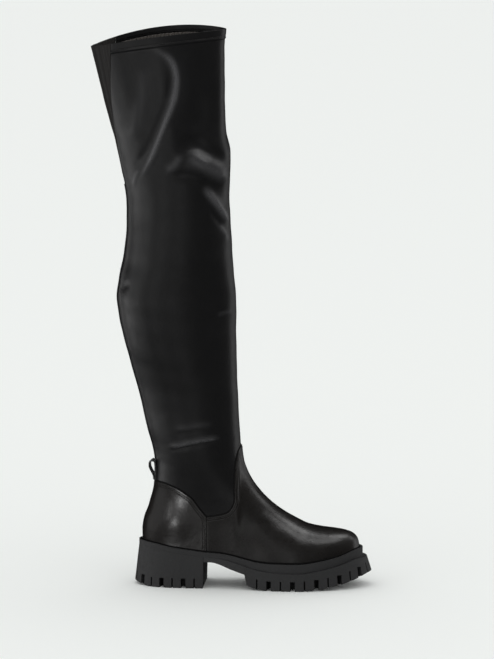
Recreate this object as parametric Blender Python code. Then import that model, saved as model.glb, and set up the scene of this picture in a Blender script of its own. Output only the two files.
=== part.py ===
"""Thigh high boot for the right foot, with a stretch leather shaft and a lugged sole.

The toe points along +X, the inner side of the foot faces +Y and the sole stands on Z = 0.
The upper is one skin, worked out row by row from the feather line to the collar. The vamp, the
heel counter, the back seam strip and the gore are cut from that same skin. The sole pieces
follow the plan outline of the upper's lowest row.
"""

import math
from collections import namedtuple

import bmesh
import bpy
import numpy as np

# Upper, in metres
UPPER_LENGTH = 0.2567
BALL_WIDTH = 0.0900
INSTEP_RISE = 0.1370
ANKLE_RISE = 0.1325
TOE_SWING = 0.0045
WALL = 0.0018
OVERLAY = 0.0012
SEAM_GAP = 0.0003
SEAT_GAP = 0.0005
QUARTER_SEAM_X = 0.0880

# Shaft
SHAFT_BACK_HEIGHT = 0.4600
SHAFT_FRONT_HEIGHT = 0.4850
CALF_DEPTH = 0.1410
CALF_WIDTH = 0.0900
HEM_HEIGHT = 0.0110
HEM_STEP = 0.0006
GORE_HALF_WIDTH = 0.0300
GORE_LENGTH = 0.1640
COLLAR_ARCH_OUTER = 0.0030
COLLAR_ARCH_INNER = 0.0100
COLLAR_ARCH_REACH = 0.1400
GORE_THICKNESS = 0.0010
GORE_RECESS = 0.0004
STRIP_HALF_WIDTH = 0.0022
STRIP_HEIGHT = 0.0009

# Sole
HEEL_HEIGHT = 0.0540
FOREFOOT_HEIGHT = 0.0315
TOE_RISE = 0.0145
RIM_HEIGHT = 0.0030
RIM_CLEARANCE = 0.0012
RIM_WIDTH = 0.0026
BAND_THICKNESS = 0.0108
LEDGE = 0.0022
TOE_LEDGE = 0.0050
SIDE_FLARE = 0.0016
TOE_FLARE = 0.0055
HEEL_BACK_FLARE = 0.0051
HEEL_BACK_LIFT = 0.0045
HEEL_LIFT_LENGTH = 0.0180
TOE_SPRING = 0.0180
BREAST_X = 0.0850
BREAST_SLANT = 0.0010
TREAD_START_X = 0.1344
TREAD_STEP_LENGTH = 0.0024
NOTCH_DEPTH = 0.0116
LUG_PITCH = 0.0144
HEEL_LUG_PITCH = 0.0133
WIDE_NOTCH = 0.0056
NARROW_NOTCH = 0.0018
WIDE_REACH = 0.0170
NARROW_REACH = 0.0080
HEEL_FIRST_NOTCH = 0.77
TREAD_FIRST_NOTCH = 0.86
INSOLE_THICKNESS = 0.0030
INSOLE_CLEARANCE = 0.0018

# Pull loop
LOOP_HEIGHT = 0.0235
LOOP_DEPTH = 0.0084
LOOP_WIDTH = 0.0200
STRAP = 0.0013

# Facets
HALF_COLUMNS = 20
SOLE_STATIONS = 26


def table(names, *rows):
    """Turn rows of shares into one array for each named column."""
    values = np.array(rows, dtype=float)
    return {name: values[:, index] for index, name in enumerate(names.split())}


# Rows of the skin over the foot. Points at the back are shares of UPPER_LENGTH forward of the
# heel and of ANKLE_RISE above the feather; points at the front are shares of UPPER_LENGTH and of
# INSTEP_RISE above the toe's feather. follow is how far a row keeps to the feather's own curve,
# and leg is how much of the leg's section is mixed into the foot's.
FOOT = table(
    "back_x back_rise front_x front_rise follow leg",
    (0.002, 0.000, 1.000, 0.000, 1.00, 0.00),
    (0.001, 0.030, 0.999, 0.029, 0.96, 0.00),
    (0.000, 0.072, 0.996, 0.062, 0.92, 0.00),
    (0.000, 0.113, 0.991, 0.090, 0.86, 0.00),
    (0.002, 0.155, 0.979, 0.118, 0.78, 0.00),
    (0.006, 0.196, 0.954, 0.143, 0.68, 0.00),
    (0.012, 0.238, 0.904, 0.163, 0.57, 0.02),
    (0.021, 0.279, 0.838, 0.178, 0.46, 0.05),
    (0.029, 0.321, 0.771, 0.203, 0.36, 0.10),
    (0.037, 0.377, 0.711, 0.256, 0.27, 0.17),
    (0.046, 0.438, 0.645, 0.329, 0.19, 0.27),
    (0.053, 0.502, 0.590, 0.408, 0.12, 0.40),
    (0.056, 0.570, 0.543, 0.497, 0.07, 0.54),
    (0.057, 0.645, 0.507, 0.586, 0.03, 0.68),
    (0.057, 0.721, 0.481, 0.675, 0.00, 0.81),
    (0.052, 0.804, 0.463, 0.772, 0.00, 0.91),
    (0.042, 0.894, 0.455, 0.880, 0.00, 0.98),
    (0.026, 1.000, 0.451, 1.000, 0.00, 1.00),
)

# Rows of the shaft, evenly spaced up its back and front seams. back and front are shares of
# CALF_DEPTH forward of the sole's back end, outer and inner are half widths as shares of
# CALF_WIDTH, lean is how far the row's middle stands towards the outer side, and skew moves
# the widest place back.
SHAFT = table(
    "back front outer inner lean skew",
    (0.085, 0.883, 0.412, 0.412, 0.000, 0.00),
    (0.049, 0.877, 0.422, 0.422, 0.000, 0.02),
    (0.002, 0.871, 0.438, 0.438, 0.000, 0.05),
    (-0.046, 0.867, 0.458, 0.458, 0.000, 0.08),
    (-0.087, 0.864, 0.478, 0.478, 0.000, 0.10),
    (-0.120, 0.863, 0.492, 0.492, 0.000, 0.11),
    (-0.141, 0.855, 0.500, 0.500, 0.000, 0.11),
    (-0.119, 0.843, 0.500, 0.500, 0.004, 0.09),
    (-0.089, 0.832, 0.497, 0.497, 0.008, 0.06),
    (-0.068, 0.823, 0.492, 0.492, 0.012, 0.03),
    (-0.054, 0.815, 0.488, 0.488, 0.016, 0.00),
    (-0.055, 0.804, 0.485, 0.485, 0.020, -0.02),
    (-0.077, 0.811, 0.480, 0.480, 0.024, -0.03),
    (-0.114, 0.816, 0.470, 0.472, 0.028, -0.02),
    (-0.153, 0.780, 0.456, 0.462, 0.030, 0.00),
    (-0.196, 0.773, 0.440, 0.450, 0.030, 0.02),
    (-0.240, 0.771, 0.426, 0.440, 0.028, 0.04),
    (-0.281, 0.766, 0.412, 0.430, 0.024, 0.06),
    (-0.320, 0.765, 0.400, 0.420, 0.018, 0.08),
    (-0.363, 0.777, 0.392, 0.412, 0.010, 0.08),
)

# Plan outline of the skin along the foot: half widths as shares of BALL_WIDTH, and how blunt the
# section over the foot is.
PLAN = table(
    "along outer inner dome",
    (0.00, 0.305, 0.305, 2.4),
    (0.18, 0.320, 0.312, 2.3),
    (0.34, 0.338, 0.302, 2.1),
    (0.50, 0.400, 0.335, 1.9),
    (0.62, 0.462, 0.430, 1.9),
    (0.73, 0.485, 0.500, 2.1),
    (0.86, 0.475, 0.500, 2.5),
    (1.00, 0.455, 0.475, 2.8),
)
HEEL_ROUND = 0.21
TOE_ROUND = 0.35
HEEL_BLUNT = 2.3
TOE_BLUNT = 2.3

# Top of the sole's rim along the foot: heel_rise is a share of the drop from HEEL_HEIGHT to
# FOREFOOT_HEIGHT, toe_rise a share of TOE_RISE, and band a share of BAND_THICKNESS.
RIM = table(
    "along heel_rise toe_rise band",
    (0.000, 1.000, 0.000, 0.56),
    (0.070, 0.907, 0.000, 0.56),
    (0.145, 0.751, 0.000, 0.55),
    (0.223, 0.631, 0.000, 0.54),
    (0.297, 0.529, 0.000, 0.53),
    (0.363, 0.480, 0.000, 0.55),
    (0.423, 0.373, 0.000, 0.64),
    (0.483, 0.209, 0.000, 0.74),
    (0.543, 0.067, 0.000, 0.82),
    (0.618, 0.009, 0.000, 0.92),
    (0.734, 0.000, 0.000, 1.00),
    (0.826, 0.000, 0.193, 0.96),
    (0.919, 0.000, 0.531, 0.95),
    (0.980, 0.000, 0.917, 1.00),
    (1.000, 0.000, 1.000, 1.00),
)

# Underside of the outsole: along is a share of the sole's length, waist a share of
# FOREFOOT_HEIGHT and spring a share of TOE_SPRING.
WAIST_UNDER = table(
    "along waist",
    (0.290, 1.020),
    (0.335, 1.010),
    (0.367, 0.940),
    (0.409, 0.790),
    (0.442, 0.690),
    (0.474, 0.594),
)
TREAD_UNDER = table(
    "along spring",
    (0.483, 0.350),
    (0.511, 0.167),
    (0.550, 0.056),
    (0.588, 0.000),
    (0.701, 0.000),
    (0.739, 0.056),
    (0.801, 0.167),
    (0.860, 0.306),
    (0.907, 0.511),
    (0.952, 0.739),
    (0.981, 0.928),
    (1.000, 1.000),
)

# Upper edges of the overlays: around is the share of the way from the back seam to the front
# seam, and row counts the skin's rows.
COUNTER_EDGE = table(
    "around row",
    (0.00, 11.8),
    (0.20, 11.8),
    (0.30, 11.5),
    (0.35, 11.0),
    (0.38, 10.4),
    (0.40, 8.0),
)
VAMP_EDGE = table(
    "around row",
    (0.40, 8.0),
    (0.50, 8.9),
    (0.61, 10.5),
    (0.73, 12.9),
    (0.85, 15.3),
    (0.90, 15.9),
    (1.00, 16.3),
)
QUARTER_COLUMN = 8
COUNTER_CORNER = 0.35
OVERLAY_FOOT_ROW = 0.25
QUARTER_ROWS = 8.0
GORE_CURVE = 0.7
WARP_COLUMNS = 5.0
WARP_ROWS = 13.0

# Large folds of the slack thigh. side is -1 on the outer wall and 1 on the inner one, forward
# and reach_x are shares of CALF_DEPTH, up and reach_z shares of the shaft's height, tilt turns
# the fold in degrees and push is a share of CALF_WIDTH.
FOLDS = table(
    "side forward up reach_x reach_z tilt push",
    (-1, 0.30, 0.90, 0.10, 0.110, 8.0, 0.045),
    (-1, 0.57, 0.84, 0.15, 0.100, 0.0, -0.100),
    (-1, 0.60, 0.735, 0.20, 0.018, -16.0, -0.040),
    (-1, 0.66, 0.690, 0.12, 0.024, -20.0, 0.040),
    (1, 0.10, 0.92, 0.16, 0.090, 0.0, 0.030),
    (1, 0.45, 0.80, 0.16, 0.090, 10.0, -0.060),
)

RIM_SPREAD = SEAT_GAP + OVERLAY + RIM_CLEARANCE + RIM_WIDTH
HEEL_X = HEEL_BACK_FLARE + RIM_SPREAD
TOE_X = HEEL_X + UPPER_LENGTH
SOLE_LENGTH = TOE_X + RIM_SPREAD + TOE_LEDGE + TOE_FLARE
ANKLE_ROW = len(FOOT["leg"]) - 1
COLLAR_ROW = ANKLE_ROW + len(SHAFT["back"])
COLUMNS = 2 * HALF_COLUMNS


def smooth(knots, values, at):
    """Read a curve that runs through its knots and never swings past them."""
    at = np.clip(np.asarray(at, dtype=float), knots[0], knots[-1])
    gaps = np.diff(knots)
    slopes = np.diff(values) / gaps
    tangents = np.zeros(len(knots))
    tangents[0] = slopes[0]
    tangents[-1] = slopes[-1]
    for index in range(1, len(knots) - 1):
        before, after = slopes[index - 1], slopes[index]
        if before * after > 0.0:
            tangents[index] = 2.0 * before * after / (before + after)
    left = np.clip(np.searchsorted(knots, at, side="right") - 1, 0, len(gaps) - 1)
    share = (at - knots[left]) / gaps[left]
    rise = values[left + 1] - values[left]
    start = tangents[left] * gaps[left]
    end = tangents[left + 1] * gaps[left]
    bend = share * (1.0 - share)
    eased = share * share * (3.0 - 2.0 * share)
    return values[left] + eased * rise + bend * ((1.0 - share) * start - share * end)


def rim_top(x):
    """Height of the top of the sole's rim."""
    along = (x - HEEL_X) / UPPER_LENGTH
    heel = smooth(RIM["along"], RIM["heel_rise"], along)
    toe = smooth(RIM["along"], RIM["toe_rise"], along)
    return FOREFOOT_HEIGHT + heel * (HEEL_HEIGHT - FOREFOOT_HEIGHT) + toe * TOE_RISE


def platform(x):
    """Height of the midsole's platform inside its rim."""
    return rim_top(x) - RIM_HEIGHT


def band_bottom(x):
    """Height of the midsole's underside."""
    along = (x - HEEL_X) / UPPER_LENGTH
    return rim_top(x) - BAND_THICKNESS * smooth(RIM["along"], RIM["band"], along)


def feather(x):
    """Height of the upper's lowest edge."""
    return platform(x) + SEAT_GAP


def skin_rows():
    """Seams of the skin row by row, in metres, from the feather to the collar."""
    rows = {}
    up = np.arange(1, len(SHAFT["back"]) + 1) / len(SHAFT["back"])
    ankle_z = feather(HEEL_X) + ANKLE_RISE
    instep_z = feather(TOE_X) + INSTEP_RISE
    rows["back_x"] = np.append(HEEL_X + FOOT["back_x"] * UPPER_LENGTH, SHAFT["back"] * CALF_DEPTH)
    rows["front_x"] = np.append(HEEL_X + FOOT["front_x"] * UPPER_LENGTH, SHAFT["front"] * CALF_DEPTH)
    rows["back_z"] = np.append(feather(HEEL_X) + FOOT["back_rise"] * ANKLE_RISE,
                               ankle_z + up * SHAFT_BACK_HEIGHT)
    rows["front_z"] = np.append(feather(TOE_X) + FOOT["front_rise"] * INSTEP_RISE,
                                instep_z + up * SHAFT_FRONT_HEIGHT)
    flat = np.zeros(len(up))
    foot_size = len(FOOT["leg"])
    rows["follow"] = np.append(FOOT["follow"], flat)
    rows["leg"] = np.append(FOOT["leg"], flat + 1.0)
    for name in ("outer", "inner", "lean"):
        rows[name] = CALF_WIDTH * np.append(np.full(foot_size, SHAFT[name][0]), SHAFT[name])
    rows["skew"] = np.append(np.full(foot_size, SHAFT["skew"][0]), SHAFT["skew"])
    return rows


ROWS = skin_rows()
ROW_NUMBERS = np.arange(COLLAR_ROW + 1, dtype=float)
RIDGE_X = np.append(ROWS["front_x"][ANKLE_ROW] - 0.016 * UPPER_LENGTH,
                    ROWS["front_x"][ANKLE_ROW::-1])
RIDGE_Z = np.append(ROWS["front_z"][ANKLE_ROW] + 0.5 * INSTEP_RISE,
                    ROWS["front_z"][ANKLE_ROW::-1])


def read_row(name, row):
    """Value of a named seam at a row, whole or in between."""
    return smooth(ROW_NUMBERS, ROWS[name], row)


def end_rounding(along):
    """Share of the full width that is left near the heel's and the toe's round ends."""
    from_heel = np.clip(along / HEEL_ROUND, 0.0, 1.0)
    from_toe = np.clip((1.0 - along) / TOE_ROUND, 0.0, 1.0)
    heel = 1.0 - (1.0 - from_heel) ** HEEL_BLUNT
    toe = 1.0 - (1.0 - from_toe) ** TOE_BLUNT
    return np.sqrt(heel * toe)


def plan_half_width(along, is_outer, spread):
    """Half width of the plan outline, let out sideways by spread."""
    outer = smooth(PLAN["along"], PLAN["outer"], along)
    inner = smooth(PLAN["along"], PLAN["inner"], along)
    return (BALL_WIDTH * np.where(is_outer, outer, inner) + spread) * end_rounding(along)


def plan_middle(along):
    """Sideways place of the foot's middle line, which swings inwards at the toe."""
    swing = np.clip((along - 0.45) / 0.55, 0.0, 1.0)
    return TOE_SWING * swing * swing * (3.0 - 2.0 * swing)


def fold_push(x, z, is_outer):
    """How far the large folds push the wall out, or in."""
    up = (z - feather(HEEL_X) - ANKLE_RISE) / SHAFT_BACK_HEIGHT
    forward = x / CALF_DEPTH
    push = np.zeros(np.shape(x))
    for index in range(len(FOLDS["side"])):
        turn = math.radians(FOLDS["tilt"][index])
        across = (forward - FOLDS["forward"][index]) * CALF_DEPTH
        along = (up - FOLDS["up"][index]) * SHAFT_BACK_HEIGHT
        turned_x = across * math.cos(turn) + along * math.sin(turn)
        turned_z = along * math.cos(turn) - across * math.sin(turn)
        reach_x = FOLDS["reach_x"][index] * CALF_DEPTH
        reach_z = FOLDS["reach_z"][index] * SHAFT_BACK_HEIGHT
        shape = np.exp(-(turned_x / reach_x) ** 2 - (turned_z / reach_z) ** 2)
        on_side = is_outer == (FOLDS["side"][index] < 0)
        push = push + np.where(on_side, FOLDS["push"][index] * CALF_WIDTH * shape, 0.0)
    return push


def near_collar(row):
    """Share from 0 to 1 of the way up the stretch where the collar arches."""
    rows = COLLAR_ARCH_REACH / SHAFT_BACK_HEIGHT * len(SHAFT["back"])
    return np.clip((row - COLLAR_ROW + rows) / rows, 0.0, 1.0)


def skin(turn, row):
    """Points of the skin. turn runs 0 to 1 from the back seam round the outer side."""
    turn, row = np.broadcast_arrays(np.asarray(turn, dtype=float), np.asarray(row, dtype=float))
    angle = 2.0 * math.pi * turn
    is_outer = np.sin(angle) >= 0.0
    back_x = read_row("back_x", row)
    front_x = read_row("front_x", row)
    back_z = read_row("back_z", row)
    front_z = read_row("front_z", row)
    across = (1.0 - np.cos(angle)) / 2.0
    x = back_x + across * (front_x - back_x)
    straight = back_z + across * (front_z - back_z)
    feather_line = feather(back_x) + across * (feather(front_x) - feather(back_x))
    z = straight + read_row("follow", row) * (feather(x) - feather_line)
    along = (x - back_x) / (TOE_X - back_x)
    shift = front_z - smooth(RIDGE_X, RIDGE_Z, front_x)
    ridge = smooth(RIDGE_X, RIDGE_Z, x) + shift
    rise = np.clip((z - feather(x)) / np.maximum(ridge - feather(x), 1e-6), 0.0, 1.0)
    dome = smooth(PLAN["along"], PLAN["dome"], along)
    foot = plan_half_width(along, is_outer, 0.0) * np.sqrt(1.0 - rise ** dome)
    bow = np.abs(np.sin(angle))
    leg = np.where(is_outer, read_row("outer", row), read_row("inner", row))
    leg = leg * bow * (1.0 + read_row("skew", row) * np.cos(angle))
    mix = read_row("leg", row)
    half = (1.0 - mix) * foot + mix * leg + fold_push(x, z, is_outer) * bow
    middle = (1.0 - mix) * plan_middle(along) - read_row("lean", row)
    y = middle + np.where(is_outer, -half, half)
    arch = np.where(is_outer, COLLAR_ARCH_OUTER, COLLAR_ARCH_INNER)
    z = z + arch * bow ** 2 * near_collar(row) ** 2
    return np.stack((x, y, z), axis=-1)


def skin_offset(turn, row, offset):
    """Points at a distance out from the skin, or in where offset is negative."""
    turn, row = np.broadcast_arrays(np.asarray(turn, dtype=float), np.asarray(row, dtype=float))
    small_turn, small_row = 0.004, 0.05
    above = np.minimum(row + small_row, COLLAR_ROW)
    below = np.maximum(row - small_row, 0.0)
    round_way = skin(turn + small_turn, row) - skin(turn - small_turn, row)
    up_way = skin(turn, above) - skin(turn, below)
    normal = np.cross(round_way, up_way)
    normal /= np.linalg.norm(normal, axis=-1, keepdims=True)
    return skin(turn, row) + normal * np.asarray(offset, dtype=float)[..., None]


def column_turn(column, row):
    """Turn of a column at a row. Columns near the quarter seam bend to run along it."""
    turn = column / COLUMNS
    reach = np.clip(1.0 - np.abs(column - QUARTER_COLUMN) / WARP_COLUMNS, 0.0, 1.0)
    held = min(row, QUARTER_ROWS)
    back_x, front_x = read_row("back_x", held), read_row("front_x", held)
    across = (QUARTER_SEAM_X - back_x) / (front_x - back_x)
    seam = math.acos(1.0 - 2.0 * across) / (2.0 * math.pi)
    fade = min(1.0, max(0.0, (WARP_ROWS - row) / (WARP_ROWS - QUARTER_ROWS)))
    return turn + (seam - QUARTER_COLUMN / COLUMNS) * reach * fade


def turn_of(column, row):
    """Turn of any whole or part column, mirrored past the front seam."""
    column = column % COLUMNS
    if column <= HALF_COLUMNS:
        return column_turn(column, row)
    return 1.0 - column_turn(COLUMNS - column, row)


GORE_TIP_ROW = COLLAR_ROW - round(GORE_LENGTH / SHAFT_BACK_HEIGHT * len(SHAFT["back"]))


def gore_turn(row, half_width=GORE_HALF_WIDTH):
    """Turn at the gore's edge, which widens from its tip to the collar."""
    share = np.clip((ROW_NUMBERS - GORE_TIP_ROW) / (COLLAR_ROW - GORE_TIP_ROW), 0.0, 1.0)
    turns = half_width * share ** GORE_CURVE / (2.0 * math.pi * ROWS["outer"])
    return float(np.interp(row, ROW_NUMBERS, turns))


def material(name, colour, roughness):
    """A plain shader with the part's own colour and roughness."""
    made = bpy.data.materials.new(name)
    made.use_nodes = True
    shader = made.node_tree.nodes["Principled BSDF"]
    shader.inputs["Base Color"].default_value = (*colour, 1.0)
    shader.inputs["Roughness"].default_value = roughness
    made.diffuse_color = (*colour, 1.0)
    return made


def add_object(name, vertices, faces, finish):
    """Make one closed body from points and faces, facing out."""
    mesh = bpy.data.meshes.new(name)
    shape = bmesh.new()
    points = [shape.verts.new(point) for point in vertices]
    for face in faces:
        corners = []
        for index in face:
            if points[index] not in corners:
                corners.append(points[index])
        if len(corners) > 2:
            shape.faces.new(corners)
    loose = [point for point in shape.verts if not point.link_faces]
    bmesh.ops.delete(shape, geom=loose, context="VERTS")
    bmesh.ops.recalc_face_normals(shape, faces=shape.faces)
    shape.to_mesh(mesh)
    shape.free()
    mesh.materials.append(finish)
    mesh.shade_smooth()
    made = bpy.data.objects.new(name, mesh)
    bpy.context.scene.collection.objects.link(made)
    return made


def stitch(low_column, high_column):
    """Faces between two neighbouring columns, each a list of (row, index)."""
    faces = []
    low, high = 0, 0
    while low < len(low_column) - 1 or high < len(high_column) - 1:
        next_low = math.ceil(low_column[low + 1][0]) if low < len(low_column) - 1 else math.inf
        next_high = math.ceil(high_column[high + 1][0]) if high < len(high_column) - 1 else math.inf
        if next_low == next_high:
            faces.append((low_column[low][1], high_column[high][1], high_column[high + 1][1]))
            faces.append((low_column[low][1], high_column[high + 1][1], low_column[low + 1][1]))
            low += 1
            high += 1
        elif next_low < next_high:
            faces.append((low_column[low][1], high_column[high][1], low_column[low + 1][1]))
            low += 1
        else:
            faces.append((low_column[low][1], high_column[high][1], high_column[high + 1][1]))
            high += 1
    return faces


def patch(name, columns, limits, inner, outer, finish):
    """A piece cut from the skin between two offsets.

    columns holds functions that give the turn at a row, and limits the lowest and highest row
    of each. Rows between the limits are the skin's own, so the piece's facets match it.
    """
    vertices = []
    sides = []
    for offset in (outer, inner):
        grid = []
        for turn_at, (lowest, highest) in zip(columns, limits):
            whole = range(math.floor(lowest) + 1, math.ceil(highest))
            numbers = [lowest] + [row for row in whole if lowest + 0.08 < row < highest - 0.08]
            if highest > lowest:
                numbers.append(highest)
            column = []
            for row in numbers:
                column.append((row, len(vertices)))
                vertices.append(skin_offset(turn_at(row), row, offset))
            grid.append(column)
        sides.append(grid)
    faces = []
    for grid, flip in zip(sides, (False, True)):
        for first, second in zip(grid, grid[1:]):
            for face in stitch(first, second):
                faces.append(face[::-1] if flip else face)
    outside, inside = sides
    for place in (0, -1):
        for index in range(len(columns) - 1):
            faces.append((outside[index][place][1], outside[index + 1][place][1],
                          inside[index + 1][place][1], inside[index][place][1]))
        for index in range(len(outside[place]) - 1):
            faces.append((outside[place][index][1], outside[place][index + 1][1],
                          inside[place][index + 1][1], inside[place][index][1]))
    return add_object(name, vertices, faces, finish)


def build_upper(finish):
    """The hollow upper, from feather line to collar, with a notch for the gore at its back."""
    hem_row = COLLAR_ROW - HEM_HEIGHT / SHAFT_BACK_HEIGHT * len(SHAFT["back"])
    levels = [(float(row), 0.0) for row in range(COLLAR_ROW) if row < hem_row - 0.1]
    levels += [(hem_row, 0.0), (hem_row + 0.03, HEM_STEP), (float(COLLAR_ROW), HEM_STEP)]
    vertices = []

    def add_loop(row, offset):
        edge = gore_turn(row)
        loop = []
        count = COLUMNS + 1 if row > GORE_TIP_ROW else COLUMNS
        for column in range(count):
            turn = turn_of(column, row) if column < COLUMNS else 1.0
            turn = edge + turn * (1.0 - 2.0 * edge)
            loop.append(len(vertices))
            vertices.append(skin_offset(turn, row, offset))
        if count == COLUMNS:
            loop.append(loop[0])
        return loop

    outside = [add_loop(row, step) for row, step in levels]
    inside = [add_loop(row, -WALL) for row, step in levels]
    faces = []
    for below in range(len(levels) - 1):
        for column in range(COLUMNS):
            for loops in (outside, inside):
                low, high = loops[below], loops[below + 1]
                faces.append((low[column], low[column + 1], high[column + 1]))
                faces.append((low[column], high[column + 1], high[column]))
        if levels[below + 1][0] > GORE_TIP_ROW:
            for column in (0, COLUMNS):
                faces.append((outside[below][column], outside[below + 1][column],
                              inside[below + 1][column], inside[below][column]))
    for place in (0, -1):
        for column in range(COLUMNS):
            faces.append((outside[place][column], outside[place][column + 1],
                          inside[place][column + 1], inside[place][column]))
    return add_object("upper", vertices, faces, finish)


def build_counter(finish):
    """The heel counter, from quarter seam to quarter seam round the heel."""
    back_off = 0.5 * SEAM_GAP / UPPER_LENGTH
    columns = []
    limits = []
    corner = QUARTER_COLUMN - COUNTER_CORNER
    half = list(range(QUARTER_COLUMN)) + [corner, QUARTER_COLUMN]
    for column in [-place for place in half[:0:-1]] + half:
        pull = back_off if abs(column) == QUARTER_COLUMN else 0.0
        sign = 1.0 if column > 0 else -1.0
        columns.append(lambda row, c=column, p=pull * sign: turn_of(c, row) - p)
        top = smooth(COUNTER_EDGE["around"], COUNTER_EDGE["row"], abs(column) / HALF_COLUMNS)
        limits.append((OVERLAY_FOOT_ROW, float(top)))
    return patch("heel_counter", columns, limits, SEAT_GAP, SEAT_GAP + OVERLAY, finish)


def build_vamp(finish):
    """The vamp, from quarter seam to quarter seam over the toe, with a peak at the front."""
    push_off = 0.5 * SEAM_GAP / UPPER_LENGTH
    columns = []
    limits = []
    for column in range(QUARTER_COLUMN, COLUMNS - QUARTER_COLUMN + 1):
        push = 0.0
        if column == QUARTER_COLUMN:
            push = push_off
        if column == COLUMNS - QUARTER_COLUMN:
            push = -push_off
        columns.append(lambda row, c=column, p=push: turn_of(c, row) + p)
        around = 1.0 - abs(column - HALF_COLUMNS) / HALF_COLUMNS
        top = smooth(VAMP_EDGE["around"], VAMP_EDGE["row"], around)
        limits.append((OVERLAY_FOOT_ROW, float(top)))
    return patch("vamp", columns, limits, SEAT_GAP, SEAT_GAP + OVERLAY, finish)


def loop_top_row():
    """Row at the back seam where the pull loop ends."""
    top = float(read_row("back_z", COUNTER_EDGE["row"][0])) + LOOP_HEIGHT
    return float(np.interp(top + 4.0 * SEAM_GAP, ROWS["back_z"], ROW_NUMBERS))


def build_strip(finish):
    """The raised strip over the back seam, from the pull loop to the gore."""
    low, high = loop_top_row(), GORE_TIP_ROW - 0.1
    columns = []
    for side in (-1.0, 0.0, 1.0):
        columns.append(lambda row, s=side: s * STRIP_HALF_WIDTH
                       / (2.0 * math.pi * float(read_row("outer", row))))
    return patch("back_seam_strip", columns, [(low, high)] * 3, SEAM_GAP,
                 SEAM_GAP + STRIP_HEIGHT, finish)


def build_gore(finish):
    """The elastic gore, which fills the notch at the back of the collar."""
    low = GORE_TIP_ROW + 0.22
    columns = []
    for share in np.linspace(-1.0, 1.0, 9):
        columns.append(lambda row, s=share: s * (gore_turn(row) - 1.6 * SEAM_GAP
                       / (2.0 * math.pi * float(read_row("outer", row)))))
    return patch("back_gore", columns, [(low, float(COLLAR_ROW))] * 9,
                 -GORE_RECESS - GORE_THICKNESS, -GORE_RECESS, finish)


def build_pull_loop(finish):
    """The webbing loop that stands at the back, just over the counter."""
    foot_row = COUNTER_EDGE["row"][0]
    foot_z = float(read_row("back_z", foot_row)) + 2.0 * SEAM_GAP
    middle_z = foot_z + LOOP_HEIGHT / 2.0
    steps = 24
    vertices = []
    rings = []
    for inset in (0.0, STRAP):
        for y in (-LOOP_WIDTH / 2.0, LOOP_WIDTH / 2.0):
            ring = []
            for step in range(steps):
                angle = 2.0 * math.pi * step / steps
                reach_x = LOOP_DEPTH / 2.0 - inset
                reach_z = LOOP_HEIGHT / 2.0 - inset
                round_x = math.copysign(abs(math.cos(angle)) ** 0.6, math.cos(angle))
                round_z = math.copysign(abs(math.sin(angle)) ** 0.8, math.sin(angle))
                ring.append(len(vertices))
                z = middle_z + reach_z * round_z
                seam_x = np.interp(z, ROWS["back_z"], ROWS["back_x"]) - SEAM_GAP
                vertices.append((seam_x - LOOP_DEPTH / 2.0 + reach_x * round_x, y, z))
            rings.append(ring)
    faces = []
    for first, second in ((0, 1), (1, 3), (3, 2), (2, 0)):
        for step in range(steps):
            after = (step + 1) % steps
            faces.append((rings[first][step], rings[first][after],
                          rings[second][after], rings[second][step]))
    return add_object("pull_loop", vertices, faces, finish)


Level = namedtuple("Level", "spread height back front start stop")


def level(spread, height, back=None, front=None, start=None, stop=None):
    """One edge of a sole piece: its outline in plan, its height, and where it is cut."""
    back = HEEL_X - spread if back is None else back
    front = TOE_X + spread if front is None else front
    return Level(spread, height, back, front, back if start is None else start,
                 front if stop is None else stop)


def edge_points(edge, x):
    """Outer and inner point of an edge at a place along the sole."""
    along = (x - edge.back) / (edge.front - edge.back)
    z = float(edge.height(x))
    middle = float(plan_middle(along))
    outer = middle - float(plan_half_width(along, True, edge.spread))
    inner = middle + float(plan_half_width(along, False, edge.spread))
    return (x, outer, z), (x, inner, z)


def slab(name, edges, shares, finish):
    """A sole piece lofted along the foot through its edges, from the top to the underside."""
    vertices = []
    sections = []
    for share in shares:
        outer, inner = [], []
        for edge in edges:
            x = edge.start + share * (edge.stop - edge.start)
            left, right = edge_points(edge, x)
            outer.append(len(vertices))
            vertices.append(left)
            if abs(left[1] - right[1]) < 1e-6:
                inner.append(outer[-1])
            else:
                inner.append(len(vertices))
                vertices.append(right)
        sections.append((outer, inner))
    faces = []
    for (outer, inner), (next_outer, next_inner) in zip(sections, sections[1:]):
        for this, following in ((outer, next_outer), (inner, next_inner)):
            for low in range(len(edges) - 1):
                faces.append((this[low], this[low + 1], following[low + 1], following[low]))
        for place in (0, -1):
            faces.append((outer[place], inner[place], next_inner[place], next_outer[place]))
    for outer, inner in (sections[0], sections[-1]):
        for low in range(len(edges) - 1):
            faces.append((outer[low], inner[low], inner[low + 1], outer[low + 1]))
    return add_object(name, vertices, faces, finish)


def round_shares(count):
    """Shares from 0 to 1, close together at both ends."""
    return [(1.0 - math.cos(math.pi * step / count)) / 2.0 for step in range(count + 1)]


def build_midsole(finish):
    """The full length band under the upper, with a raised rim round its platform."""
    clear = RIM_SPREAD - RIM_WIDTH
    edges = (level(clear, platform), level(clear, rim_top),
             level(RIM_SPREAD, rim_top), level(RIM_SPREAD, band_bottom))
    return slab("midsole", edges, round_shares(SOLE_STATIONS), finish)


def build_insole(finish):
    """The inner sole on the platform, inside the upper's wall."""
    spread = -WALL - INSOLE_CLEARANCE
    edges = (level(spread, lambda x: platform(x) + SEAT_GAP + INSOLE_THICKNESS),
             level(spread, lambda x: platform(x) + SEAT_GAP))
    return slab("insole", edges, round_shares(SOLE_STATIONS), finish)


def sole_top(x):
    """Height of the top of the heel and the outsole."""
    return band_bottom(x) - SEAT_GAP


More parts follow.
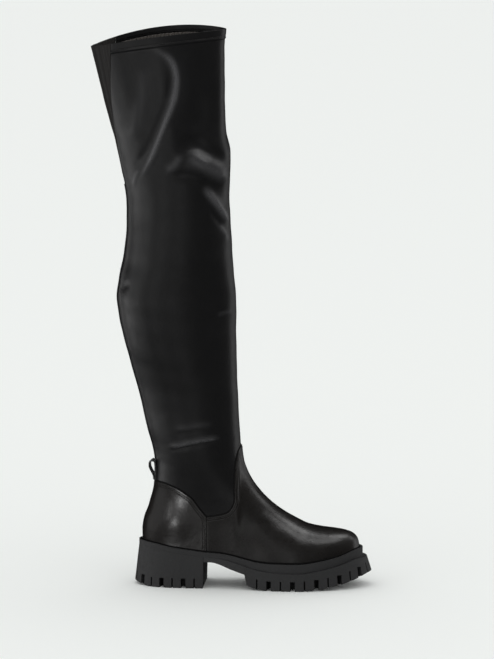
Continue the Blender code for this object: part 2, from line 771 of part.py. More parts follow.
def tread_bottom(x):
    """Height of the outsole's underside, with the step where the tread starts."""
    waist_x = WAIST_UNDER["along"] * SOLE_LENGTH
    waist_x[-1] = TREAD_START_X
    tread_x = TREAD_UNDER["along"] * SOLE_LENGTH
    tread_x[0] = TREAD_START_X + TREAD_STEP_LENGTH
    knots = np.append(waist_x, tread_x)
    heights = np.append(WAIST_UNDER["waist"] * FOREFOOT_HEIGHT, TREAD_UNDER["spring"] * TOE_SPRING)
    return np.interp(x, knots, heights)


def heel_bottom(x):
    """Height of the heel's underside, lifted at its back edge."""
    return HEEL_BACK_LIFT * np.clip(1.0 - x / HEEL_LIFT_LENGTH, 0.0, 1.0)


def cut_notches(block, edge, stations, pitch, first_share, reach_limit):
    """Cut wide and narrow notches by turns round a block's lower edge."""
    outer_path = [edge_points(edge, x)[0] for x in stations]
    inner_path = [edge_points(edge, x)[1] for x in stations]
    vertices = []
    faces = []
    for path in (outer_path, inner_path):
        points = np.array(path)
        steps = np.linalg.norm(np.diff(points[:, :2], axis=0), axis=1)
        walked = np.append(0.0, np.cumsum(steps))
        count = int((walked[-1] - 0.5 * pitch) / pitch)
        for number in range(count + 1):
            place = (number + first_share) * pitch
            if place > walked[-1] - 0.3 * pitch:
                continue
            is_wide = number % 2 == 1
            width = WIDE_NOTCH if is_wide else NARROW_NOTCH
            reach = WIDE_REACH if is_wide else NARROW_REACH
            spot = np.array([np.interp(place, walked, points[:, axis]) for axis in range(3)])
            ahead = np.array([np.interp(place + 0.001, walked, points[:, axis]) for axis in range(2)])
            behind = np.array([np.interp(place - 0.001, walked, points[:, axis]) for axis in range(2)])
            along = (ahead - behind) / np.linalg.norm(ahead - behind)
            inward = np.array((-along[1], along[0]))
            if inward[1] * (plan_middle(0.5) - spot[1]) < 0.0:
                inward = -inward
            reach = min(reach, reach_limit)
            first = len(vertices)
            for z in (spot[2] - 0.02, spot[2] + NOTCH_DEPTH):
                for depth, side in ((-0.01, -0.5), (-0.01, 0.5), (reach, 0.5), (reach, -0.5)):
                    corner = spot[:2] + inward * depth + along * side * width
                    vertices.append((corner[0], corner[1], z))
            low, high = [first + k for k in range(4)], [first + 4 + k for k in range(4)]
            faces.append(low)
            faces.append(high)
            for k in range(4):
                after = (k + 1) % 4
                faces.append((low[k], low[after], high[after], high[k]))
    cutter = add_object(block.name + "_cutter", vertices, faces, block.data.materials[0])
    cutter.hide_render = True
    cutter.display_type = "WIRE"
    cut = block.modifiers.new("notches", "BOOLEAN")
    cut.operation = "DIFFERENCE"
    cut.object = cutter


def build_outsole(finish):
    """The waist and forefoot tread, with lugs round its edge."""
    top_front = TOE_X + RIM_SPREAD + TOE_LEDGE
    start = BREAST_X + SEAM_GAP
    top = level(RIM_SPREAD + LEDGE, sole_top, HEEL_X - RIM_SPREAD, top_front, start)
    bottom = level(RIM_SPREAD + LEDGE + SIDE_FLARE, tread_bottom, 0.0, SOLE_LENGTH, start)
    waist = [x for x in WAIST_UNDER["along"] * SOLE_LENGTH if start < x < TREAD_START_X - 0.003]
    tread = [x for x in TREAD_UNDER["along"] * SOLE_LENGTH if x > TREAD_START_X + 0.006]
    middle = TREAD_UNDER["along"][6] * SOLE_LENGTH
    toe_steps = 12
    toe = [middle + (SOLE_LENGTH - middle) * math.sin(math.pi / 2.0 * k / toe_steps)
           for k in range(1, toe_steps + 1)]
    places = [start] + waist + [TREAD_START_X, TREAD_START_X + TREAD_STEP_LENGTH]
    places += [x for x in tread if x <= middle] + toe
    shares = [(x - start) / (SOLE_LENGTH - start) for x in places]
    made = slab("outsole", (top, bottom), shares, finish)
    stations = np.linspace(TREAD_START_X + TREAD_STEP_LENGTH, SOLE_LENGTH, 160)
    cut_notches(made, bottom, stations, LUG_PITCH, TREAD_FIRST_NOTCH, 0.32 * BALL_WIDTH)
    return made


def build_heel(finish):
    """The heel block, wider at its foot, with lugs round its edge."""
    top = level(RIM_SPREAD, sole_top, stop=BREAST_X - SEAM_GAP)
    bottom = level(RIM_SPREAD + SIDE_FLARE, heel_bottom, back=0.0,
                   stop=BREAST_X - SEAM_GAP - BREAST_SLANT)
    steps = 14
    shares = [1.0 - math.cos(math.pi / 2.0 * step / steps) for step in range(steps + 1)]
    made = slab("heel", (top, bottom), shares, finish)
    stations = np.linspace(BREAST_X - BREAST_SLANT, 0.0, 120)
    cut_notches(made, bottom, stations, HEEL_LUG_PITCH, HEEL_FIRST_NOTCH, 0.16 * BALL_WIDTH)
    return made


def centre_over_origin(nodes):
    """Hang every object from an empty and move it, so the box's middle stands over the origin."""
    bpy.context.view_layer.update()
    graph = bpy.context.evaluated_depsgraph_get()
    places = []
    for node in nodes:
        places += [tuple(point.co) for point in node.evaluated_get(graph).data.vertices]
    places = np.array(places)
    middle = (places.min(axis=0) + places.max(axis=0)) / 2.0
    boot = bpy.data.objects.new("boot", None)
    bpy.context.scene.collection.objects.link(boot)
    for item in list(bpy.data.objects):
        if item is not boot:
            item.parent = boot
    boot.location = (-middle[0], -middle[1], 0.0)


def main():
    for old in list(bpy.data.objects):
        bpy.data.objects.remove(old)
    stretch = material("stretch_leather", (0.020, 0.020, 0.022), 0.42)
    leather = material("foot_leather", (0.018, 0.016, 0.015), 0.34)
    elastic = material("gore_elastic", (0.035, 0.031, 0.029), 0.85)
    webbing = material("loop_webbing", (0.022, 0.022, 0.023), 0.80)
    rubber = material("sole_rubber", (0.032, 0.032, 0.034), 0.68)
    lining = material("insole_lining", (0.050, 0.042, 0.038), 0.85)
    nodes = [
        build_upper(stretch),
        build_vamp(leather),
        build_counter(leather),
        build_strip(stretch),
        build_gore(elastic),
        build_pull_loop(webbing),
        build_insole(lining),
        build_midsole(rubber),
        build_outsole(rubber),
        build_heel(rubber),
    ]
    centre_over_origin(nodes)


main()
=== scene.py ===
"""Looks of the thigh high boot: fine surfaces, creases, seams, stitches, materials and light.

Lengths are metres. The boot's own frame has X = 0 at the sole's back end, the toe along +X, the
inner side of the foot along +Y and the floor at Z = 0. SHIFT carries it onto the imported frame.
"""

import math

import bmesh
import bpy
import numpy as np
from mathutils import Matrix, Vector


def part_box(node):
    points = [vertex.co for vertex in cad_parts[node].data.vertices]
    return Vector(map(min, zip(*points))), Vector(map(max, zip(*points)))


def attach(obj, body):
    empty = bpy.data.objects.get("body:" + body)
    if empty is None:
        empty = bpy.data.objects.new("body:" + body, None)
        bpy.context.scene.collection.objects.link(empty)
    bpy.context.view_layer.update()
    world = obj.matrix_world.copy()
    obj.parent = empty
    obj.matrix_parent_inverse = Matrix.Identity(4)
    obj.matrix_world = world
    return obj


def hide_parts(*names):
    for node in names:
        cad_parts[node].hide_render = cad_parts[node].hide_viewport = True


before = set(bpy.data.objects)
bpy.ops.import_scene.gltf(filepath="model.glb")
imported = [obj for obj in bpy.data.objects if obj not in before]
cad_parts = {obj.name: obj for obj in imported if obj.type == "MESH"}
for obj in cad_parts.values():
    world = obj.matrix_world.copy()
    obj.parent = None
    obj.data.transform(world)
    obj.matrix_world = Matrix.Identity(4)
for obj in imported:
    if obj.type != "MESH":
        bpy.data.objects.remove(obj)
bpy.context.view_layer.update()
MM = 0.001

# Upper, and the pieces that lie over it
UPPER_LENGTH = 0.2567
BALL_WIDTH = 0.0900
INSTEP_RISE = 0.1370
ANKLE_RISE = 0.1325
TOE_SWING = 0.0045
WALL = 0.0018
OVERLAY = 0.0012
SEAM_GAP = 0.0003
SEAT_GAP = 0.0005
QUARTER_SEAM_X = 0.0880

# Shaft
SHAFT_BACK_HEIGHT = 0.4600
SHAFT_FRONT_HEIGHT = 0.4850
CALF_DEPTH = 0.1410
CALF_WIDTH = 0.0900
LEATHER = 0.0010
COLLAR_ARCH_OUTER = 0.0030
COLLAR_ARCH_INNER = 0.0100
COLLAR_ARCH_REACH = 0.1400
HEM_HEIGHT = 0.0110
HEM_STEP = 0.0006
HEM_GROOVE = 0.0078
FACING = 0.0062
# Row up to which the painted shadow over the feather reaches
FEATHER_ROW = 0.95

# Gore and back strip
GORE_HALF_WIDTH = 0.0300
GORE_LENGTH = 0.1640
GORE_CURVE = 0.7
GORE_THICKNESS = 0.0010
GORE_RECESS = 0.0004
GORE_RIB_HEIGHT = 0.00020
GORE_RIB_PITCH = 0.0026
STRIP_HALF_WIDTH = 0.0022
STRIP_HEIGHT = 0.0009

# Stitches, as radii and distances from the edge, and bar tacks
STITCH = 0.00032
FACING_STITCH = 0.00055
STITCH_INSETS = (0.0021, 0.0044)
TACK_LOW = 0.1085
TACK_HIGH = 0.1195
TACK_PITCH = 0.0013
TACK_START = 0.0014
TACK_WIDTH = 0.0036

# Shares along one stitch, and how thick and how sunk it is there as shares of its radius
STITCH_SHARES = np.array((-0.5, -0.36, 0.0, 0.36, 0.5))
STITCH_SWELL = np.array((0.35, 0.9, 1.0, 0.9, 0.35))
STITCH_SINK = np.array((-0.9, -0.2, 0.0, -0.2, -0.9))
STITCH_SIDES = 6

# Groove, rolled edge and dent of the hem: height, distance below the collar, reach
HEM_RELIEF = ((-0.00030, HEM_GROOVE, 0.0007), (0.00028, HEM_HEIGHT - 0.0012, 0.0008),
              (-0.00022, HEM_HEIGHT + 0.0012, 0.0008))

LINING_GATHER = 0.00075

# Soft pleats of the gore: distance from the back's middle, height and reach to each side
GORE_PLEATS = ((0.0040, -0.0006, 0.0026), (0.0092, 0.0013, 0.0015), (0.0128, -0.0012, 0.0022),
               (0.0172, 0.0006, 0.0014), (0.0205, -0.0005, 0.0018))

# Crown of the heel counter's stiffener: its height, middle and reach
BULGE = 0.0032
BULGE_X = 0.0510
BULGE_Z = 0.0790
BULGE_REACH_X = 0.0200
BULGE_REACH_Z = 0.0190

# Sole
HEEL_HEIGHT = 0.0540
FOREFOOT_HEIGHT = 0.0315
TOE_RISE = 0.0145
RIM_HEIGHT = 0.0030
RIM_CLEARANCE = 0.0012
RIM_WIDTH = 0.0026
BAND_THICKNESS = 0.0108
LEDGE = 0.0022
TOE_LEDGE = 0.0050
SIDE_FLARE = 0.0016
TOE_FLARE = 0.0055
HEEL_BACK_FLARE = 0.0051
HEEL_BACK_LIFT = 0.0045
HEEL_LIFT_LENGTH = 0.0180
TOE_SPRING = 0.0180
BREAST_X = 0.0850
BREAST_SLANT = 0.0010
TREAD_START_X = 0.1344
TREAD_STEP_LENGTH = 0.0024
NOTCH_DEPTH = 0.0116
LUG_PITCH = 0.0144
HEEL_LUG_PITCH = 0.0133
WIDE_NOTCH = 0.0056
NARROW_NOTCH = 0.0018
WIDE_REACH = 0.0170
NARROW_REACH = 0.0080
HEEL_FIRST_NOTCH = 0.77
TREAD_FIRST_NOTCH = 0.86
INSOLE_THICKNESS = 0.0030
INSOLE_CLEARANCE = 0.0018

# Pull loop, and the mid line of its strap: share of the loop's height, and of its depth out
# from the boot
LOOP_HEIGHT = 0.0235
LOOP_DEPTH = 0.0084
LOOP_WIDTH = 0.0200
STRAP = 0.0013
LOOP_LINE = ((0.00, 0.10), (0.30, 0.10), (0.60, 0.10), (0.82, 0.14), (0.94, 0.32), (0.985, 0.55),
             (0.95, 0.78), (0.84, 0.92), (0.70, 0.92), (0.52, 0.78), (0.32, 0.52), (0.14, 0.31),
             (0.02, 0.27))


def table(names, *rows):
    """Turn rows of shares into one array for each named column."""
    values = np.array(rows, dtype=float)
    return {name: values[:, index] for index, name in enumerate(names.split())}


# Rows of the skin over the foot. Points at the back are shares of UPPER_LENGTH forward of the
# heel and of ANKLE_RISE above the feather; points at the front are shares of UPPER_LENGTH and of
# INSTEP_RISE above the toe's feather. follow is how far a row keeps to the feather's own curve,
# and leg is how much of the leg's section is mixed into the foot's.
FOOT = table(
    "back_x back_rise front_x front_rise follow leg",
    (0.002, 0.000, 1.000, 0.000, 1.00, 0.00),
    (0.001, 0.030, 0.999, 0.029, 0.96, 0.00),
    (0.000, 0.072, 0.996, 0.062, 0.92, 0.00),
    (0.000, 0.113, 0.991, 0.090, 0.86, 0.00),
    (0.002, 0.155, 0.979, 0.118, 0.78, 0.00),
    (0.006, 0.196, 0.954, 0.143, 0.68, 0.00),
    (0.012, 0.238, 0.904, 0.163, 0.57, 0.02),
    (0.021, 0.279, 0.838, 0.178, 0.46, 0.05),
    (0.029, 0.321, 0.771, 0.203, 0.36, 0.10),
    (0.037, 0.377, 0.711, 0.256, 0.27, 0.17),
    (0.046, 0.438, 0.645, 0.329, 0.19, 0.27),
    (0.053, 0.502, 0.590, 0.408, 0.12, 0.40),
    (0.056, 0.570, 0.543, 0.497, 0.07, 0.54),
    (0.057, 0.645, 0.507, 0.586, 0.03, 0.68),
    (0.057, 0.721, 0.481, 0.675, 0.00, 0.81),
    (0.052, 0.804, 0.463, 0.772, 0.00, 0.91),
    (0.042, 0.894, 0.455, 0.880, 0.00, 0.98),
    (0.026, 1.000, 0.451, 1.000, 0.00, 1.00),
)

# Rows of the shaft, evenly spaced up its back and front seams. back and front are shares of
# CALF_DEPTH forward of the sole's back end, outer and inner are half widths as shares of
# CALF_WIDTH, lean is how far the row's middle stands towards the outer side, and skew moves
# the widest place back.
SHAFT = table(
    "back front outer inner lean skew",
    (0.085, 0.883, 0.412, 0.412, 0.000, 0.00),
    (0.049, 0.877, 0.422, 0.422, 0.000, 0.02),
    (0.002, 0.871, 0.438, 0.438, 0.000, 0.05),
    (-0.046, 0.867, 0.458, 0.458, 0.000, 0.08),
    (-0.087, 0.864, 0.478, 0.478, 0.000, 0.10),
    (-0.120, 0.863, 0.492, 0.492, 0.000, 0.11),
    (-0.141, 0.855, 0.500, 0.500, 0.000, 0.11),
    (-0.119, 0.843, 0.500, 0.500, 0.004, 0.09),
    (-0.089, 0.832, 0.497, 0.497, 0.008, 0.06),
    (-0.068, 0.823, 0.492, 0.492, 0.012, 0.03),
    (-0.054, 0.815, 0.488, 0.488, 0.016, 0.00),
    (-0.055, 0.804, 0.485, 0.485, 0.020, -0.02),
    (-0.077, 0.811, 0.480, 0.480, 0.024, -0.03),
    (-0.114, 0.816, 0.470, 0.472, 0.028, -0.02),
    (-0.153, 0.780, 0.456, 0.462, 0.030, 0.00),
    (-0.196, 0.773, 0.440, 0.450, 0.030, 0.02),
    (-0.240, 0.771, 0.426, 0.440, 0.028, 0.04),
    (-0.281, 0.766, 0.412, 0.430, 0.024, 0.06),
    (-0.320, 0.765, 0.400, 0.420, 0.018, 0.08),
    (-0.363, 0.777, 0.392, 0.412, 0.010, 0.08),
)

# Plan outline of the skin along the foot: half widths as shares of BALL_WIDTH, and how blunt the
# section over the foot is.
PLAN = table(
    "along outer inner dome",
    (0.00, 0.305, 0.305, 2.4),
    (0.18, 0.320, 0.312, 2.3),
    (0.34, 0.338, 0.302, 2.1),
    (0.50, 0.400, 0.335, 1.9),
    (0.62, 0.462, 0.430, 1.9),
    (0.73, 0.485, 0.500, 2.1),
    (0.86, 0.475, 0.500, 2.5),
    (1.00, 0.455, 0.475, 2.8),
)
HEEL_ROUND = 0.21
TOE_ROUND = 0.35
HEEL_BLUNT = 2.3
TOE_BLUNT = 2.3

# Top of the sole's rim along the foot: heel_rise is a share of the drop from HEEL_HEIGHT to
# FOREFOOT_HEIGHT, toe_rise a share of TOE_RISE, and band a share of BAND_THICKNESS.
RIM = table(
    "along heel_rise toe_rise band",
    (0.000, 1.000, 0.000, 0.56),
    (0.070, 0.907, 0.000, 0.56),
    (0.145, 0.751, 0.000, 0.55),
    (0.223, 0.631, 0.000, 0.54),
    (0.297, 0.529, 0.000, 0.53),
    (0.363, 0.480, 0.000, 0.55),
    (0.423, 0.373, 0.000, 0.64),
    (0.483, 0.209, 0.000, 0.74),
    (0.543, 0.067, 0.000, 0.82),
    (0.618, 0.009, 0.000, 0.92),
    (0.734, 0.000, 0.000, 1.00),
    (0.826, 0.000, 0.193, 0.96),
    (0.919, 0.000, 0.531, 0.95),
    (0.980, 0.000, 0.917, 1.00),
    (1.000, 0.000, 1.000, 1.00),
)

# Underside of the outsole: along is a share of the sole's length, waist a share of
# FOREFOOT_HEIGHT and spring a share of TOE_SPRING.
WAIST_UNDER = table(
    "along waist",
    (0.290, 1.020),
    (0.335, 1.010),
    (0.367, 0.940),
    (0.409, 0.790),
    (0.442, 0.690),
    (0.474, 0.594),
)
TREAD_UNDER = table(
    "along spring",
    (0.483, 0.350),
    (0.511, 0.167),
    (0.550, 0.056),
    (0.588, 0.000),
    (0.701, 0.000),
    (0.739, 0.056),
    (0.801, 0.167),
    (0.860, 0.306),
    (0.907, 0.511),
    (0.952, 0.739),
    (0.981, 0.928),
    (1.000, 1.000),
)

# Upper edges of the overlays: around is the share of the way from the back seam to the front
# seam, and row counts the skin's rows.
COUNTER_EDGE = table(
    "around row",
    (0.00, 11.8),
    (0.20, 11.8),
    (0.30, 11.5),
    (0.35, 11.0),
    (0.38, 10.4),
    (0.40, 8.0),
)
VAMP_EDGE = table(
    "around row",
    (0.40, 8.0),
    (0.50, 8.9),
    (0.61, 10.5),
    (0.73, 12.9),
    (0.85, 15.3),
    (0.90, 15.9),
    (1.00, 16.3),
)
OVERLAY_FOOT_ROW = 0.25

# Column and rows of the quarter seam, and how far the columns beside and above it bend
QUARTER_COLUMN = 8
QUARTER_ROWS = 8.0
WARP_COLUMNS = 5.0
WARP_ROWS = 13.0

# Walls of the shaft that folds and creases lie on
OUTER, INNER = -1, 1

# Large folds of the slack thigh: (side, place forward and up, reach forward and up, tilt in
# degrees, push). Forward counts in shares of CALF_DEPTH, up in shares of SHAFT_BACK_HEIGHT and
# push in shares of CALF_WIDTH.
FOLDS = (
    (OUTER, 0.30, 0.90, 0.10, 0.110, 8.0, 0.045),
    (OUTER, 0.57, 0.84, 0.15, 0.100, 0.0, -0.100),
    (OUTER, 0.60, 0.735, 0.20, 0.018, -16.0, -0.040),
    (OUTER, 0.66, 0.690, 0.12, 0.024, -20.0, 0.040),
    (INNER, 0.10, 0.92, 0.16, 0.090, 0.0, 0.030),
    (INNER, 0.45, 0.80, 0.16, 0.090, 10.0, -0.060),
)

# Creases of the shaft, given in millimetres of the boot's own frame and seen from its
# side: (side, height, width on the path's left, width on its right, path of (x, z) points).
# A height under 0 is a trough.
S_RIDGE = ((20, 645.5), (34, 641.0), (45.8, 632.5), (51.6, 621), (53.6, 607), (52, 591),
           (46.8, 572.5), (39.6, 554), (31.0, 532), (23.0, 512.6), (15.6, 499), (8.5, 486))
CREASES = (
    (OUTER, 0.8, 12.0, 6.0, S_RIDGE),
    (OUTER, 2.1, 3.0, 2.6, S_RIDGE),
    (OUTER, -1.2, 6.0, 3.6, ((43, 622), (46, 606), (44, 588), (37.5, 566), (28.5, 545), (19, 526),
                             (9, 511), (1, 498))),
    (OUTER, 0.8, 2.4, 2.4, ((9, 503), (4, 492), (1.5, 480))),
    (OUTER, 0.9, 8.0, 7.0, ((14, 624), (14, 594), (7, 562), (-4, 528))),
    (OUTER, -2.2, 6.0, 7.0, ((54.6, 540), (74, 535), (94, 522), (116, 505))),
    (OUTER, 3.1, 10.5, 7.5, ((66, 524), (79, 513), (93, 504), (107, 495), (118, 487))),
    (OUTER, 1.3, 5.0, 4.5, ((60, 522), (57, 514), (50, 505), (40, 500))),
    (OUTER, -2.0, 6.0, 7.0, ((42, 493), (62, 495), (84, 489), (101, 479), (116, 466))),
    (OUTER, 2.4, 4.2, 3.6, ((86, 484), (90.8, 475), (102, 459), (112.7, 442), (117, 433))),
    (OUTER, -1.4, 4.0, 4.0, ((92, 457), (103, 440), (113, 424))),
    (OUTER, 0.9, 3.0, 3.0, ((103, 437), (108, 429), (115, 413))),
    (OUTER, -0.9, 3.5, 3.5, ((-17, 356), (-10, 360), (-2, 365))),
    (OUTER, -0.45, 1.8, 1.8, ((100, 325), (108, 326), (119.6, 328.5))),
    (OUTER, 0.35, 1.8, 1.8, ((100, 328.5), (108, 329.5), (119.6, 332))),
    (OUTER, 0.45, 3.2, 2.8, ((46, 190.5), (70, 194.5), (98, 198.5))),
    (OUTER, -0.30, 2.6, 3.2, ((48, 185.5), (72, 189.5), (98, 193.5))),
    (OUTER, 1.35, 3.6, 1.7, ((42, 168.0), (56, 171.8), (78, 177.2), (106, 181.6))),
    (OUTER, -0.90, 1.6, 3.4, ((42, 165.4), (56, 169.2), (78, 174.6), (106, 179.0))),
    (INNER, -2.4, 9.0, 9.0, ((20, 610), (46, 596), (72, 570), (92, 548))),
    (INNER, 2.6, 8.0, 6.0, ((8, 588), (34, 574), (58, 548), (80, 520))),
    (INNER, -2.0, 6.0, 7.0, ((46, 528), (70, 514), (96, 492))),
    (INNER, 1.8, 5.0, 6.0, ((54, 504), (78, 490), (104, 466))),
    (INNER, -1.0, 4.0, 4.0, ((-8, 352), (6, 357), (26, 360))),
    (INNER, 0.9, 3.2, 2.4, ((36, 176), (60, 180), (88, 184))),
    (INNER, -0.8, 2.4, 3.4, ((38, 171.0), (62, 175.0), (90, 179.0))),
    (INNER, 0.5, 3.0, 2.8, ((44, 196), (64, 199), (88, 201))),
)

# Share of a crease's path over which it fades at each end, how many widths it reaches, and how
# soon it fades towards the front and back seams
CREASE_TAPER = 0.24
CREASE_REACH = 3.2
CREASE_SEAM_FADE = 2.2

# Slope at which a ridge's crest gets its full polish and its full painted highlight
RIDGE_SHARP = 0.00075

# Broad slack of the leather: (height in millimetres, waves up the shaft, waves round it, phase)
SLACK = (
    (0.35, 3.3, 2.0, 0.4),
    (0.22, 7.1, 3.0, 1.9),
    (0.12, 15.7, 2.0, 4.1),
)

# Places worked out from the values above, and the grids of the skin
RIM_SPREAD = SEAT_GAP + OVERLAY + RIM_CLEARANCE + RIM_WIDTH
HEEL_X = HEEL_BACK_FLARE + RIM_SPREAD
TOE_X = HEEL_X + UPPER_LENGTH
SOLE_LENGTH = TOE_X + RIM_SPREAD + TOE_LEDGE + TOE_FLARE
ANKLE_ROW = len(FOOT["leg"]) - 1
COLLAR_ROW = ANKLE_ROW + len(SHAFT["back"])
HALF_COLUMNS = 20
COLUMNS = 2 * HALF_COLUMNS
SHAFT_COLUMNS = 161
LINING_COLUMNS = 481
ROW_HEIGHT = SHAFT_BACK_HEIGHT / len(SHAFT["back"])
GORE_TIP_ROW = COLLAR_ROW - round(GORE_LENGTH / ROW_HEIGHT)
OUT = SEAT_GAP + OVERLAY

# From the boot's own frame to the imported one
toe_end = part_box("outsole")[1][0]
loop_low, loop_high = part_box("pull_loop")
SHIFT = np.array((toe_end - SOLE_LENGTH, (loop_low[1] + loop_high[1]) / 2.0, 0.0))


def smooth(knots, values, at):
    """Read a curve that runs through its knots and never swings past them."""
    at = np.clip(np.asarray(at, dtype=float), knots[0], knots[-1])
    gaps = np.diff(knots)
    slopes = np.diff(values) / gaps
    tangents = np.zeros(len(knots))
    tangents[0] = slopes[0]
    tangents[-1] = slopes[-1]
    for index in range(1, len(knots) - 1):
        before, after = slopes[index - 1], slopes[index]
        if before * after > 0.0:
            tangents[index] = 2.0 * before * after / (before + after)
    left = np.clip(np.searchsorted(knots, at, side="right") - 1, 0, len(gaps) - 1)
    share = (at - knots[left]) / gaps[left]
    rise = values[left + 1] - values[left]
    start = tangents[left] * gaps[left]
    end = tangents[left + 1] * gaps[left]
    bend = share * (1.0 - share)
    eased = share * share * (3.0 - 2.0 * share)
    return values[left] + eased * rise + bend * ((1.0 - share) * start - share * end)


def floats(*values):
    """Numbers as arrays that all have one shape."""
    return np.broadcast_arrays(*(np.asarray(value, dtype=float) for value in values))


def ease(value):
    """A soft step from 0 to 1."""
    value = np.clip(value, 0.0, 1.0)
    return value * value * (3.0 - 2.0 * value)


def rim_top(x):
    """Height of the top of the sole's rim."""
    along = (x - HEEL_X) / UPPER_LENGTH
    heel = smooth(RIM["along"], RIM["heel_rise"], along)
    toe = smooth(RIM["along"], RIM["toe_rise"], along)
    return FOREFOOT_HEIGHT + heel * (HEEL_HEIGHT - FOREFOOT_HEIGHT) + toe * TOE_RISE


def platform(x):
    """Height of the midsole's platform inside its rim."""
    return rim_top(x) - RIM_HEIGHT


def band_bottom(x):
    """Height of the midsole's underside."""
    along = (x - HEEL_X) / UPPER_LENGTH
    return rim_top(x) - BAND_THICKNESS * smooth(RIM["along"], RIM["band"], along)


def feather(x):
    """Height of the upper's lowest edge."""
    return platform(x) + SEAT_GAP


def skin_rows():
    """Seams of the skin row by row, in metres, from the feather to the collar."""
    count = len(SHAFT["back"])
    up = np.arange(1, count + 1) / count
    rows = {"follow": np.append(FOOT["follow"], np.zeros(count)),
            "leg": np.append(FOOT["leg"], np.ones(count))}
    for side, end_x, rise, height in (("back", HEEL_X, ANKLE_RISE, SHAFT_BACK_HEIGHT),
                                      ("front", TOE_X, INSTEP_RISE, SHAFT_FRONT_HEIGHT)):
        rows[side + "_x"] = np.append(HEEL_X + FOOT[side + "_x"] * UPPER_LENGTH,
                                      SHAFT[side] * CALF_DEPTH)
        rises = np.append(FOOT[side + "_rise"] * rise, rise + up * height)
        rows[side + "_z"] = feather(end_x) + rises
    for name, scale in (("outer", CALF_WIDTH), ("inner", CALF_WIDTH), ("lean", CALF_WIDTH),
                        ("skew", 1.0)):
        foot = np.full(len(FOOT["leg"]), SHAFT[name][0])
        rows[name] = scale * np.append(foot, SHAFT[name])
    return rows


ROWS = skin_rows()
ROW_NUMBERS = np.arange(COLLAR_ROW + 1, dtype=float)
RIDGE_X = np.append(ROWS["front_x"][ANKLE_ROW] - 0.016 * UPPER_LENGTH,
                    ROWS["front_x"][ANKLE_ROW::-1])
RIDGE_Z = np.append(ROWS["front_z"][ANKLE_ROW] + 0.5 * INSTEP_RISE,
                    ROWS["front_z"][ANKLE_ROW::-1])


def read_row(name, row):
    """Value of a named seam at a row, whole or in between."""
    return smooth(ROW_NUMBERS, ROWS[name], row)


def end_rounding(along):
    """Share of the full width that is left near the heel's and the toe's round ends."""
    from_heel = np.clip(along / HEEL_ROUND, 0.0, 1.0)
    from_toe = np.clip((1.0 - along) / TOE_ROUND, 0.0, 1.0)
    heel = 1.0 - (1.0 - from_heel) ** HEEL_BLUNT
    toe = 1.0 - (1.0 - from_toe) ** TOE_BLUNT
    return np.sqrt(heel * toe)


def plan_half_width(along, is_outer, spread):
    """Half width of the plan outline, let out sideways by spread."""
    outer = smooth(PLAN["along"], PLAN["outer"], along)
    inner = smooth(PLAN["along"], PLAN["inner"], along)
    return (BALL_WIDTH * np.where(is_outer, outer, inner) + spread) * end_rounding(along)


def plan_middle(along):
    """Sideways place of the foot's middle line, which swings inwards at the toe."""
    return TOE_SWING * ease((along - 0.45) / 0.55)


def fold_push(x, z, is_outer):
    """How far the large folds push the wall out, or in."""
    up = z - feather(HEEL_X) - ANKLE_RISE
    push = np.zeros(np.shape(x))
    for side, fold_x, fold_up, reach_x, reach_z, tilt, depth in FOLDS:
        across = x - fold_x * CALF_DEPTH
        along = up - fold_up * SHAFT_BACK_HEIGHT
        turn = math.radians(tilt)
        turned_x = across * math.cos(turn) + along * math.sin(turn)
        turned_z = along * math.cos(turn) - across * math.sin(turn)
        shape = np.exp(-(turned_x / (reach_x * CALF_DEPTH)) ** 2
                       - (turned_z / (reach_z * SHAFT_BACK_HEIGHT)) ** 2)
        push += np.where(is_outer == (side == OUTER), depth * CALF_WIDTH * shape, 0.0)
    return push


def near_collar(row):
    """Share from 0 to 1 of the way up the stretch where the collar arches."""
    rows = COLLAR_ARCH_REACH / ROW_HEIGHT
    return np.clip((row - COLLAR_ROW + rows) / rows, 0.0, 1.0)


def skin(turn, row):
    """Points of the skin. turn runs 0 to 1 from the back seam round the outer side."""
    turn, row = floats(turn, row)
    angle = 2.0 * math.pi * turn
    is_outer = np.sin(angle) >= 0.0
    back_x = read_row("back_x", row)
    front_x = read_row("front_x", row)
    back_z = read_row("back_z", row)
    front_z = read_row("front_z", row)
    across = (1.0 - np.cos(angle)) / 2.0
    x = back_x + across * (front_x - back_x)
    straight = back_z + across * (front_z - back_z)
    feather_line = feather(back_x) + across * (feather(front_x) - feather(back_x))
    z = straight + read_row("follow", row) * (feather(x) - feather_line)
    along = (x - back_x) / (TOE_X - back_x)
    shift = front_z - smooth(RIDGE_X, RIDGE_Z, front_x)
    ridge = smooth(RIDGE_X, RIDGE_Z, x) + shift
    rise = np.clip((z - feather(x)) / np.maximum(ridge - feather(x), 1e-6), 0.0, 1.0)
    dome = smooth(PLAN["along"], PLAN["dome"], along)
    foot = plan_half_width(along, is_outer, 0.0) * np.sqrt(1.0 - rise ** dome)
    bow = np.abs(np.sin(angle))
    leg = np.where(is_outer, read_row("outer", row), read_row("inner", row))
    leg = leg * bow * (1.0 + read_row("skew", row) * np.cos(angle))
    mix = read_row("leg", row)
    half = (1.0 - mix) * foot + mix * leg + fold_push(x, z, is_outer) * bow
    middle = (1.0 - mix) * plan_middle(along) - read_row("lean", row)
    y = middle + np.where(is_outer, -half, half)
    arch = np.where(is_outer, COLLAR_ARCH_OUTER, COLLAR_ARCH_INNER)
    z = z + arch * bow ** 2 * near_collar(row) ** 2
    return np.stack((x, y, z), axis=-1)


def skin_normal(turn, row):
    """Directions straight out of the skin."""
    turn, row = floats(turn, row)
    small_turn, small_row = 0.004, 0.05
    above = np.minimum(row + small_row, COLLAR_ROW)
    below = np.maximum(row - small_row, 0.0)
    round_way = skin(turn + small_turn, row) - skin(turn - small_turn, row)
    up_way = skin(turn, above) - skin(turn, below)
    normal = np.cross(round_way, up_way)
    return normal / np.linalg.norm(normal, axis=-1, keepdims=True)


